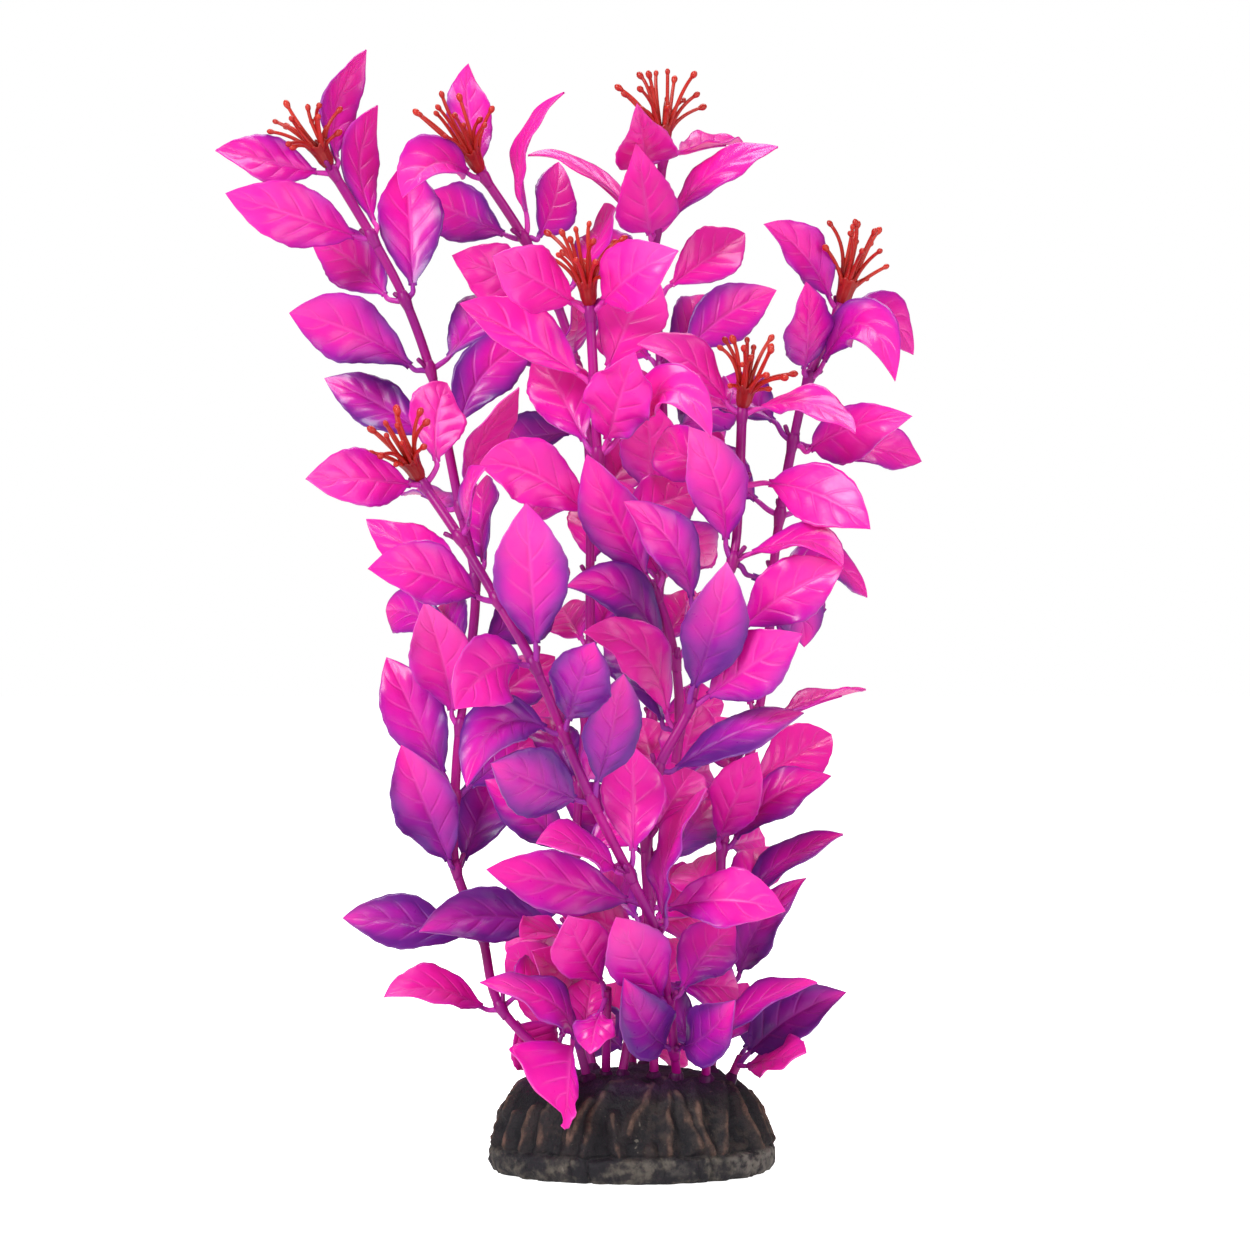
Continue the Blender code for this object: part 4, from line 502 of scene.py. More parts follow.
def tube(path, radius, sides=6):
    """Vertices and faces of an open tube along the path."""
    verts, faces = [], []
    for i, p in enumerate(path):
        along = (path[min(i + 1, len(path) - 1)] - path[max(i - 1, 0)]).normalized()
        x = along.cross(Vector((0.1, 1, 0.2))).normalized()
        y = along.cross(x).normalized()
        for k in range(sides):
            a = 2 * math.pi * k / sides
            verts.append(p + (x * math.cos(a) + y * math.sin(a)) * radius)
        if i:
            for k in range(sides):
                k2 = (k + 1) % sides
                o = (i - 1) * sides
                faces.append((o + k, o + k2, o + sides + k2, o + sides + k))
    return verts, faces


def settle(leaves, obstacles, rounds=70, say=None):
    """Leaves that meet give way, one nearer the eye and one further, and keep their
    outline on the sheet. obstacles are (tree, box, own stem or None, y at a height)."""
    trees, boxes, samples = {}, {}, {}

    def refresh(i):
        verts, faces = slab(leaves[i], PROBE_ROWS, PROBE_HALF)
        trees[i] = BVHTree.FromPolygons(verts, faces)
        co = np.array(verts)
        boxes[i] = (co.min(0), co.max(0))
        b, c, t = leaves[i].midrib()
        samples[i] = np.array([bezier(b, c, t, r) for r in np.linspace(0, 1, 9)])

    def near(i, at_point):
        """Mean depth of a leaf near a point on the sheet, and how far along it that is."""
        d = samples[i][:, [0, 2]] - at_point[[0, 2]]
        w = np.exp(-(d ** 2).sum(1) / 0.006 ** 2) + 1e-9
        w /= w.sum()
        return float((samples[i][:, 1] * w).sum()), float((np.linspace(0, 1, 9) * w).sum())

    for i in range(len(leaves)):
        refresh(i)
    order = {}
    left = None
    for turn in range(rounds):
        low = np.array([boxes[i][0] for i in range(len(leaves))])
        high = np.array([boxes[i][1] for i in range(len(leaves))])
        meet = ((low[:, None] <= high[None]) & (low[None] <= high[:, None])).all(2)
        push, left = {}, []
        for i, j in zip(*np.nonzero(np.triu(meet, 1))):
            a, b = leaves[i], leaves[j]
            if a.whorl == b.whorl:
                continue
            hits = trees[i].overlap(trees[j])
            if not hits:
                continue
            left.append((a.name, b.name, len(hits)))
            verts, faces = slab(a, PROBE_ROWS, PROBE_HALF)
            c = np.array([np.mean([verts[k] for k in faces[h[0]]], axis=0) for h in hits]).mean(0)
            ya, ta = near(i, c)
            yb, tb = near(j, c)
            sign = order.setdefault((i, j), 1.0 if ya >= yb else -1.0)
            for n, t, sg, other in ((i, ta, sign, tb), (j, tb, -sign, ta)):
                share = max(t, 0.12) / (max(t, 0.12) + max(other, 0.12))
                p = push.setdefault(n, [0., 0.])
                p[0] += sg * share * max(t, 0.25)
                p[1] += sg * share * 4 * t * (1 - t)
        for tree, (olow, ohigh), own, depth_at in obstacles:
            for i in np.nonzero((low <= ohigh).all(1) & (olow <= high).all(1))[0]:
                leaf = leaves[i]
                if own is not None and own == leaf.whorl[0]:
                    verts, faces = slab(leaf, (0.34, 0.5, 0.7, 0.86, 1.0), PROBE_HALF)
                    mine = BVHTree.FromPolygons(verts, faces)
                    hits = mine.overlap(tree)
                else:
                    hits = trees[i].overlap(tree)
                    if hits:
                        verts, faces = slab(leaf, PROBE_ROWS, PROBE_HALF)
                if not hits:
                    continue
                left.append((leaf.name, own or "fixed", len(hits)))
                c = np.array([np.mean([verts[k] for k in faces[h[0]]], axis=0) for h in hits]).mean(0)
                ya, ta = near(i, c)
                if own is not None and own == leaf.whorl[0]:
                    sign = 1.0 if leaf.start_reach >= 0 else -1.0
                else:
                    sign = order.setdefault((i, id(tree)), 1.0 if ya >= depth_at(c) else -1.0)
                p = push.setdefault(i, [0., 0.])
                p[0] += sign * max(ta, 0.25)
                p[1] += sign * 4 * ta * (1 - ta)
        if say:
            say(turn, left)
        if not left:
            break
        step = 0.0011 if turn < rounds * 0.6 else 0.0006
        for i, (dr, db) in push.items():
            leaf = leaves[i]
            dr, db = max(-2, min(2, dr)), max(-2, min(2, db))
            leaf.reach = max(-leaf.most, min(leaf.most, leaf.reach + dr * step * 1.3))
            leaf.bow = max(-0.007, min(0.007, leaf.bow + db * step * 0.6))
            refresh(i)
    return left


def tree_and_box(verts, faces):
    co = np.array(verts)
    return BVHTree.FromPolygons(verts, faces), (co.min(0), co.max(0))


def path_depth(path):
    def depth_at(c):
        return min(path, key=lambda p: abs(p.z - c[2])).y
    return depth_at


# Each flower: a short cup on the stem's end, and a spread of filaments from it.
def flower_axis(key):
    foot = PATHS[key][0]
    u, v, d = TUFTS[key]
    return foot, at(u, v, d * 0.001)


BASE_RX = 0.0385
BASE_RY = 0.0300
BASE_H = 0.0270
# The mound's side: the share of the full radius at each share of the height.
BASE_SIDE = ((0, 0.972), (0.06, 0.998), (0.22, 1.0), (0.36, 0.962), (0.54, 0.918), (0.68, 0.87), (0.79, 0.81),
             (0.88, 0.73), (0.94, 0.63), (0.98, 0.46), (1, 0))


def side_share(height):
    for (h1, r1), (h2, r2) in zip(BASE_SIDE, BASE_SIDE[1:]):
        if height <= h2:
            return r1 + (r2 - r1) * (height - h1) / (h2 - h1)
    return 0.


def base_outline(angle, height):
    """How far the mound's skin is from its middle, at an angle and a share of its height."""
    rx = BASE_RX * side_share(height)
    ry = rx * BASE_RY / BASE_RX
    return rx * ry / max(math.hypot(ry * math.cos(angle), rx * math.sin(angle)), 1e-9)


def mound_height(x, y):
    """The height of the mound's skin over a point of the floor."""
    r = math.hypot(x / BASE_RX, y / BASE_RY)
    for (h1, r1), (h2, r2) in reversed(list(zip(BASE_SIDE[2:], BASE_SIDE[3:]))):
        if r <= r1:
            return BASE_H * (h1 + (h2 - h1) * (r1 - r) / (r1 - r2))
    return 0.


def foot_down(path, deep):
    """The point in line with a stem's foot, that deep below the mound's skin."""
    run = (path[-1] - path[-2]).normalized()
    p = path[-1].copy()
    while p.z > mound_height(p.x, p.y) - deep:
        p = p + run * 0.0005
    return p


def base_mesh(rings=8, spokes=20, grow=0.):
    verts, faces = [], []
    for i in range(rings):
        h = i / rings
        for k in range(spokes):
            a = 2 * math.pi * k / spokes
            r = base_outline(a, h) + grow
            verts.append(Vector((r * math.cos(a), r * math.sin(a), h * BASE_H)))
    verts.append(Vector((0, 0, BASE_H)))
    for i in range(rings - 1):
        for k in range(spokes):
            k2 = (k + 1) % spokes
            faces.append((i * spokes + k, i * spokes + k2, (i + 1) * spokes + k2, (i + 1) * spokes + k))
    for k in range(spokes):
        faces.append(((rings - 1) * spokes + k, (rings - 1) * spokes + (k + 1) % spokes, rings * spokes))
    return verts, faces


def fixed_things():
    """What the leaves have to clear: stems, flowers and the mound."""
    found = []
    for key, path in PATHS.items():
        verts, faces = tube(path, HUB_R + 0.0006)
        found.append((*tree_and_box(verts, faces), key, path_depth(path)))
    for key in TUFTS:
        foot, head = flower_axis(key)
        out = (head - foot)
        verts, faces = tube([foot + out * 0.1, foot + out * 0.45, foot + out * 1.5], 0.0039, 10)
        for k in range(20, 30):
            verts[k] = foot + out * 1.5 + (verts[k] - foot - out * 1.5) * (SPREAD_R.get(key, USUAL_SPREAD_R) / 0.0036)
        found.append((*tree_and_box(verts, faces), None, path_depth([foot, head])))
    verts, faces = base_mesh(grow=0.0008)
    found.append((*tree_and_box(verts, faces), None, lambda c: 0.0))
    return found


# ---------------------------------------------------------------- mesh building
class Piece:
    """Points and faces gathered for one object, with what its finish reads at each point."""

    def __init__(self):
        self.verts, self.faces, self.slots = [], [], []
        self.attrs = {k: [] for k in ("along", "across", "violet", "pale", "seed")}

    # Besides violet, each point carries how much painted highlight a leaf gets. On a glue collar that value is how
    # dark the glue is.
    def add(self, verts, faces, slot, along=0., across=0., violet=0., pale=0., seed=0.):
        o = len(self.verts)
        self.verts.extend(verts)
        self.faces.extend(tuple(o + i for i in f) for f in faces)
        self.slots.extend([slot] * len(faces))
        for key, value in (("along", along), ("across", across), ("violet", violet), ("pale", pale), ("seed", seed)):
            self.attrs[key].extend(value if hasattr(value, "__len__") else [value] * len(verts))

    def build(self, name, materials, replaces=()):
        mesh = bpy.data.meshes.new(name)
        mesh.from_pydata([tuple(v) for v in self.verts], [], self.faces)
        for m in materials:
            mesh.materials.append(m)
        mesh.polygons.foreach_set("material_index", self.slots)
        mesh.shade_smooth()
        for key, values in self.attrs.items():
            a = mesh.attributes.new(key, "FLOAT", "POINT")
            a.data.foreach_set("value", np.array(values, np.float32))
        mesh.validate()
        obj = bpy.data.objects.new(name, mesh)
        bpy.context.scene.collection.objects.link(obj)
        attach(obj, "root")
        if replaces:
            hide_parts(*replaces)
        return obj


def round_tube(path, radii, sides=12, cap=True):
    """A closed tube along the path, its radius given at each point, and the length along it."""
    verts, faces, along = [], [], []
    n = len(path)
    side = None
    run = 0.
    for i, p in enumerate(path):
        t = (path[min(i + 1, n - 1)] - path[max(i - 1, 0)]).normalized()
        if side is None:
            side = t.cross(Vector((0.13, 1, 0.21))).normalized()
        side = (side - t * side.dot(t)).normalized()
        other = t.cross(side)
        if i:
            run += (p - path[i - 1]).length
        for k in range(sides):
            a = 2 * math.pi * k / sides
            verts.append(p + (side * math.cos(a) + other * math.sin(a)) * radii[i])
            along.append(run)
    for i in range(n - 1):
        for k in range(sides):
            k2 = (k + 1) % sides
            faces.append((i * sides + k, i * sides + k2, (i + 1) * sides + k2, (i + 1) * sides + k))
    if cap:
        for i, d in ((0, -1), (n - 1, 1)):
            t = (path[min(i + 1, n - 1)] - path[max(i - 1, 0)]).normalized()
            verts.append(path[i] + t * d * radii[i] * 0.35)
            along.append(along[i * sides])
            c = len(verts) - 1
            for k in range(sides):
                k2 = (k + 1) % sides
                f = (i * sides + k, i * sides + k2, c)
                faces.append(f if d > 0 else f[::-1])
    return verts, faces, along


def hashed(*values):
    """A number from 0 to 1 that depends only on the values."""
    h = 0.
    for i, v in enumerate(values):
        h += (sum(ord(c) * (k + 3) for k, c in enumerate(v)) if isinstance(v, str) else v) * (12.9898 + 3.7 * i)
    return (math.sin(h) * 43758.5453) % 1.0


# ---------------------------------------------------------------- leaves
LEAF_ROWS, LEAF_COLS = 42, 21
VEINS = 5.2               # side veins to a side of a blade
VEIN_LEAN = 0.27          # how far along a side vein has run when it meets the margin

# The leaf that was cut short when it was trimmed: the distance of each edge from its
# midrib, in sheet units, at shares of its length. It ends in a stub.
TORN_LEFT = ((0, 22), (0.06, 42), (0.13, 58), (0.20, 64), (0.28, 61), (0.38, 53), (0.50, 45), (0.63, 33), (0.78, 13),
             (0.83, 5), (0.90, 2.5), (0.96, 3), (1, 7))
TORN_RIGHT = ((0, 0), (0.16, 4), (0.48, 10), (0.75, 11.5), (0.87, 12), (0.89, 7), (0.95, 5), (1, 3.5))


def read_off(table, s):
    for (x1, y1), (x2, y2) in zip(table, table[1:]):
        if s <= x2:
            return y1 + (y2 - y1) * (s - x1) / (x2 - x1)
    return table[-1][1]


def blade_detail(leaf, seed):
    """What stands out of the blade's mean surface: puffed panels between the veins, a groove
    on the midrib, a fold along it, waves in the margin and a curl at the tip."""
    cup = 0.28 * (hashed(seed, 1) - 0.42)
    fold = 0.42 * (hashed(seed, 6) - 0.38) * (0.35 if leaf.torn else 1)
    wave = 0.0004 + 0.0008 * hashed(seed, 2) + 0.0014 * leaf.ruf
    phase = 6.28 * hashed(seed, 3)
    beats = 1.3 + 1.5 * hashed(seed, 4)
    curl = 0.0034 * (hashed(seed, 5) - 0.3)
    sway = 0.0007 * (hashed(seed, 7) - 0.5)
    puff = 0.00042 * (0.55 + 0.9 * hashed(seed, 8))

    def lift(_, s, x, h):
        s = max(s, 0.)
        ax = abs(x)
        body = min(1., s * 5) * min(1., (1 - s) * 4)
        v = (s - VEIN_LEAN * ax ** 1.1) * VEINS + (0.4 if x < 0 else 0.)
        panel = abs(math.sin(math.pi * v)) ** 0.65 * min(1., ax * 3.5) * (1 - ax ** 3) * min(1, (1 - s) * 3)
        rib = math.exp(-(h * x / 0.0007) ** 2)
        return (cup * h * x * x + fold * h * ax * (1 - 0.35 * ax) + puff * panel * body
                - 0.00034 * rib * (1 - 0.7 * s) * min(1, s * 8)
                + wave * ax ** 3 * math.sin(phase + beats * 6.28 * s + (1.3 if x < 0 else 0)) * body
                + sway * math.sin(phase + 7.5 * s) * body
                - curl * max(0., s - 0.6) ** 2 * 5)
    return lift


def add_leaf(piece, leaf):
    seed = hashed(leaf.name)
    b, c, t = leaf.midrib()
    length = (t - b).length
    stalk = min(0.30, PETIOLE / length)
    n, m = LEAF_ROWS, LEAF_COLS
    start_row = stalk * (0.9 if leaf.torn else 0.55)
    rows = [start_row + (1 - start_row) * i / (n - 1) for i in range(n)]
    cols = [2 * j / (m - 1) - 1 for j in range(m)]
    grid, normals = leaf.surface(rows, cols, detail=blade_detail(leaf, seed))
    verts, along, across = [], [], []
    unit = 1 / SHEET * (b.y - EYE.y)
    for i, (row, r) in enumerate(zip(grid, rows)):
        s = (r - stalk) / (1 - stalk)
        mid = row[m // 2]
        for j, p in enumerate(row):
            x = cols[j]
            # The trimmed margin is a little uneven.
            jag = 1 + 0.03 * math.sin(37 * s + 9 * seed) * math.sin(17 * s + 5 * seed + (2 if x < 0 else 0)) * x * x
            if leaf.torn and abs(x) > 0.01:
                edge = read_off(TORN_LEFT if x > 0 else TORN_RIGHT, s) * unit
                reach = (row[-1 if x > 0 else 0] - mid).length
                jag = edge / max(reach, 1e-5)
            verts.append(mid + (p - mid) * jag)
            along.append(max(0., s))
            across.append(x)
    front = verts
    back = []
    for i, nm in enumerate(normals):
        s = (rows[i] - stalk) / (1 - stalk)
        for j in range(m):
            x = cols[j]
            thick = 0.00058 * (1 - 0.30 * abs(x) ** 3) + 0.0006 * math.exp(-(x / 0.10) ** 2) * max(0., 1 - max(0., s)) ** 0.8
            back.append(front[i * m + j] - nm * thick)
    k = n * m
    faces = []
    for i in range(n - 1):
        for j in range(m - 1):
            a = i * m + j
            faces.append((a, a + 1, a + m + 1, a + m))
            faces.append((k + a, k + a + m, k + a + m + 1, k + a + 1))
        for j, flip in ((0, False), (m - 1, True)):
            a = i * m + j
            faces.append((a, a + m, k + a + m, k + a) if not flip else (a, k + a, k + a + m, a + m))
    for i in (0, n - 1):
        for j in range(m - 1):
            a = i * m + j
            faces.append((a, k + a, k + a + 1, a + 1) if i == 0 else (a, a + 1, k + a + 1, k + a))
    piece.add(front + back, faces, 0, along + along, across + across, leaf.p, leaf.s, seed)
    # The stalk: round, out of the hub and on under the blade as its midrib.
    path = PATHS[leaf.whorl[0]]
    idx = leaf.whorl[1]
    run = (path[max(idx - 1, 0)] - path[min(idx + 1, len(path) - 1)]).normalized()
    out = b - leaf.hub
    side_out = (out - run * out.dot(run))
    start = leaf.hub + side_out.normalized() * 0.0006 + run * (out.dot(run) * 0.15 - 0.0004)
    knots = [start, leaf.hub + side_out * 0.60 + run * out.dot(run) * 0.40, b]
    for q in (-0.4 * stalk, 0.06, 0.2, 0.4, 0.62):
        near = normals[min(n - 1, max(0, round((stalk + q - start_row) / (1 - start_row) * (n - 1))))]
        sunk = 0.00045 if q < 0 else 0.00105 if q < 0.1 else 0.00118
        knots.append(bezier(b, c, t, stalk + q) - near * sunk)
    line = smooth_path(knots, 4)
    k2 = len(line) - 1
    radii = [0.00086 - 0.00016 * min(1., i / k2 * 3) - 0.00050 * max(0., (i / k2 - 0.33) * 1.5) for i in range(k2 + 1)]
    v, f, al = round_tube(line, radii, 9)
    piece.add(v, f, 0, 0.03, 0.0, min(1., leaf.p * 0.6 + 0.35), 0., seed)


# ---------------------------------------------------------------- stems and tiers
SKIN_R = 0.00124          # the stem between tiers
TIER_R = 0.00131          # a tier's sleeve
TIERS = {
    "a": (2, 2, 2, 2, 2, 3), "b": (2, 2, 2, 2, 2, 3), "c": (2, 2, 2, 2, 2, 3),
    "d": (2, 2, 2, 2, 3), "e": (2, 2, 2, 2, 3), "f": (2, 2, 2, 3), "g": (2, 2, 2, 4),
}
SLEEVE_END = 0.0016


def stem_line(key, steps=8):
    path = PATHS[key]
    top = path[0] + (path[0] - path[1]).normalized() * HUB_UP
    return smooth_path([top, *path, foot_down(path, 0.004)], steps)


def build_stem(n, key, mat):
    line = stem_line(key)
    piece = Piece()
    radii = [SKIN_R * (1 + 0.05 * noise.noise(p * 220)) for p in line]
    v, f, al = round_tube(line, radii, 14)
    piece.add(v, f, 0, [a * 1000 for a in al], 0., 0., 0., hashed(key))
    piece.build(f"stem_{n}_skin", [mat], [f"stem_{n}"])


def add_hub(piece, key, index, seed):
    """The swelling at a whorl, with the short pegs that the moulding leaves."""
    path = PATHS[key]
    hub = path[index]
    up = (path[max(index - 1, 0)] - path[min(index + 1, len(path) - 1)]).normalized()
    line = [hub + up * d * 0.001 for d in (-3.2, -2.4, -1.5, -0.6, 0.2, 0.9, 1.6, 2.3)]
    radii = [r * 0.001 for r in (1.28, 1.36, 1.50, 1.68, 1.76, 1.70, 1.50, 1.30)]
    v, f, al = round_tube(line, radii, 14)
    piece.add(v, f, 1, 0., 0., 0.35, 0., seed)
    for k in range(1 + int(hashed(key, index, 8) * 1.7)):
        turn = 6.28 * hashed(key, index, k, 5)
        out = Vector((math.cos(turn), math.sin(turn), 0))
        out = (out - up * out.dot(up)).normalized()
        a = hub + out * 0.0010 + up * 0.0006
        size = 0.0026 + 0.0016 * hashed(key, index, k, 6)
        tip = a + (out * 0.55 + up * 0.85).normalized() * size
        line = [a, a + (tip - a) * 0.5, a + (tip - a) * 0.8, tip]
        v, f, al = round_tube(line, [0.00075, 0.0006, 0.0007, 0.00055], 8)
        piece.add(v, f, 1, 0., 0., 0.9, 0., seed)


def nearest_span(line, a, b):
    """The stretch of a smooth line between its points nearest a and b."""
    ia = min(range(len(line)), key=lambda i: (line[i] - a).length)
    ib = min(range(len(line)), key=lambda i: (line[i] - b).length)
    return line[min(ia, ib):max(ia, ib) + 1]


def build_tiers(n, key, leaves, mats):
    path = PATHS[key]
    line = stem_line(key, 16)
    first = 0
    for tier, count in enumerate(TIERS[key], 1):
        last = first + count - 1
        piece = Piece()
        up = (path[first - 1] - path[first] if first else path[0] - path[1]).normalized()
        down = (path[last + 1] - path[last]).normalized()
        span = nearest_span(line, path[first] + up * SLEEVE_END, path[last] + down * SLEEVE_END)
        v, f, al = round_tube(span, [TIER_R] * len(span), 14)
        piece.add(v, f, 1, [a * 1000 for a in al], 0., 0.1, 0., hashed(key, tier))
        for index in range(first, last + 1):
            add_hub(piece, key, index, hashed(key, index))
        for leaf in leaves:
            if leaf.whorl[0] == key and first <= leaf.whorl[1] <= last:
                add_leaf(piece, leaf)
        piece.build(f"leaves_{n}_{tier}_blades", mats, [f"leaves_{n}_{tier}"])
        first = last + 1


def build_shoots(leaves, mats):
    for n, key in enumerate(SHOOTS, 1):
        path = PATHS[key]
        piece = Piece()
        top = path[0] + (path[0] - path[1]).normalized() * 0.002
        line = smooth_path([top, *path, foot_down(path, 0.004)], 8)
        v, f, al = round_tube(line, [0.0012] * len(line), 12)
        piece.add(v, f, 1, [a * 1000 for a in al], 0., 0.2, 0., hashed(key))
        for leaf in leaves:
            if leaf.whorl[0] == key:
                add_leaf(piece, leaf)
        piece.build(f"shoot_{n}_blades", mats, [f"shoot_{n}"])


# ---------------------------------------------------------------- flowers
def build_flower(n, key, mat):
    foot, head = flower_axis(key)
    path = PATHS[key]
    start = path[0] + (path[0] - path[1]).normalized() * (HUB_UP - 0.0006)
    axis = (head - start).normalized()
    reach = (head - start).length * 1.45
    spread = SPREAD_R.get(key, USUAL_SPREAD_R)
    x = axis.cross(Vector((0.2, 1, 0.1))).normalized()
    y = axis.cross(x)
    piece = Piece()
    # The cup: a short ribbed bell with a toothed mouth.
    sides, cup_l = 36, 0.0070
    prof = [(0.0012, 0.0), (0.0017, 0.0006), (0.0021, 0.0020), (0.0022, 0.0036), (0.0025, 0.0052), (0.0029, 0.0064),
            (0.0031, cup_l), (0.0028, cup_l), (0.0024, 0.0062), (0.0019, 0.0050), (0.0012, 0.0046)]
    verts, faces = [], []
    for r, z in prof:
        for k in range(sides):
            a = 2 * math.pi * k / sides
            rib = 1 + 0.06 * math.cos(9 * a + 0.8 * hashed(key, 3)) * min(1, z / 0.002)
            tooth = 0.0009 * (abs((k * 9 / sides) % 1 - 0.5) * 2 - 0.4) if z > 0.0063 else 0.
            verts.append(start + axis * (z + tooth) + (x * math.cos(a) + y * math.sin(a)) * r * rib)
    for i in range(len(prof) - 1):
        for k in range(sides):
            k2 = (k + 1) % sides
            faces.append((i * sides + k, i * sides + k2, (i + 1) * sides + k2, (i + 1) * sides + k))
    for i, z, d in ((0, -0.0003, -1), (len(prof) - 1, 0.0047, 1)):
        verts.append(start + axis * z)
        c = len(verts) - 1
        for k in range(sides):
            f = (i * sides + k, i * sides + (k + 1) % sides, c)
            faces.append(f if d > 0 else f[::-1])
    piece.add(verts, faces, 0, 0., 0., 0., 0., 0.2)
    count = 16
    for k in range(count):
        h1, h2, h3, h4 = (hashed(key, k, q) for q in (1, 2, 3, 4))
        ring = 0 if k < 5 else 1
        a = 2 * math.pi * (k / 5 if ring == 0 else (k - 5) / 11) + 0.6 * (h1 - 0.5) + 0.3 * ring
        out = x * math.cos(a) + y * math.sin(a)
        wide = spread * (0.30 + 0.32 * h2 if ring == 0 else 0.80 + 0.42 * h2)
        tall = reach * (0.86 + 0.14 * h3 if ring == 0 else 0.52 + 0.38 * h3)
        if h4 > 0.80:
            tall *= 0.66
            wide *= 0.62
        foot_k = start + axis * 0.0050 + out * 0.0017
        knee = start + axis * (0.0050 + (tall - 0.0050) * (0.55 + 0.15 * h4)) + out * (0.0018 + (wide - 0.0018) * (0.30 + 0.2 * h1))
        tip = start + axis * tall + out * wide
        bend = (x * math.cos(a + 1.57) + y * math.sin(a + 1.57)) * 0.0012 * (h3 - 0.5)
        line = [bezier(foot_k, 2 * (knee + bend) - 0.5 * (foot_k + tip), tip, i / 11) for i in range(12)]
        radii = [0.00072 - 0.00016 * min(1, i / 4) - 0.00008 * i / 11 for i in range(12)]
        v, f, al = round_tube(line, radii, 8)
        piece.add(v, f, 0, [0.35 + 0.65 * min(1, i / 5) for i in range(12) for _ in range(8)] + [0.35, 1.], 0., 0., 0., h1)
        # The knob at its end.
        d = (line[-1] - line[-2]).normalized()
        size = 0.85 + 0.35 * h2
        knob = [tip + d * q * size for q in (-0.0010, -0.0005, 0.0001, 0.0007, 0.0012, 0.0014)]
        v, f, al = round_tube(knob, [r * size for r in (0.00036, 0.00058, 0.00080, 0.00080, 0.00050, 0.00020)], 10)
        piece.add(v, f, 0, 1., 0., 0., 0., h1)
    piece.build(f"flower_{n}_filaments", [mat], [f"flower_{n}"])


# ---------------------------------------------------------------- base
# The casting's veins where the photo shows them, as points on the sheet.
ROOTS = (
    ((653, 1084), (647, 1101), (636, 1117), (628, 1134)),
    ((664, 1076), (668, 1098), (669, 1128), (671, 1158)),
    ((692, 1082), (696, 1110), (704, 1136), (713, 1155)),
    ((722, 1084), (724, 1118), (725, 1156)),
    ((731, 1084), (744, 1114), (756, 1136), (763, 1152)),
    ((746, 1088), (760, 1112), (769, 1137)),
    ((676, 1092), (688, 1119), (701, 1146)),
    ((604, 1094), (593, 1112), (588, 1135), (583, 1156)),
    ((612, 1116), (615, 1138), (618, 1157)),
    ((546, 1112), (541, 1132), (536, 1157)),
    ((572, 1118), (568, 1138), (566, 1158)),
    ((514, 1114), (507, 1130), (504, 1148)),
    ((534, 1108), (525, 1130), (518, 1156)),
    ((651, 1150), (652, 1160)),
    ((648, 1086), (630, 1080), (612, 1084)),
    ((556, 1092), (548, 1112)),
    ((590, 1100), (578, 1120), (570, 1140)),
)
# Cracks in the rim: how far across they lie.
CRACKS = (-0.0118, 0.0213)


def on_mound(u, v):
    """The nearest point of the mound's front that shows at (u, v), if any does."""
    for k in range(160):
        p = at(u, v, -0.034 + k * 0.0004)
        if math.hypot(p.x / BASE_RX, p.y / BASE_RY) < 1 and p.z <= mound_height(p.x, p.y):
            return p
    return None


def mound_normal(x, y):
    e = 0.0005
    return Vector((mound_height(x - e, y) - mound_height(x + e, y),
                   mound_height(x, y - e) - mound_height(x, y + e), 2 * e)).normalized()


def vein_lines():
    """Lines of points over the mound: the front's as placed, the rest fanned by rule."""
    lines = []
    for row in ROOTS:
        line = [p for p in (on_mound(u, v) for u, v in row) if p is not None]
        if len(line) > 1:
            lines.append(line)
    for k in range(21):
        a = math.radians(-6 + 9.6 * k + 4 * hashed(k, 1))
        lean = 0.22 * (hashed(k, 2) - 0.5)
        start, end = 0.90 - 0.25 * hashed(k, 3), 0.25 + 0.15 * hashed(k, 4)
        line = []
        for s in range(6):
            w = s / 5
            h = start + (end - start) * w
            b = a + lean * (w - 0.5) + 0.05 * math.sin(9 * w + 7 * hashed(k, 5))
            r = base_outline(b, h)
            line.append(Vector((r * math.cos(b), r * math.sin(b), h * BASE_H)))
        lines.append(line)
    return lines


def near_veins(points):
    """Each point's distance to the nearest vein."""
    best = np.full(len(points), 1.)
    for line in vein_lines():
        for a, b in zip(line, line[1:]):
            a, b = np.array(a), np.array(b)
            run = b - a
            t = np.clip((points - a) @ run / (run @ run), 0, 1)
            best = np.minimum(best, np.linalg.norm(points - a - t[:, None] * run, axis=1))
    return best


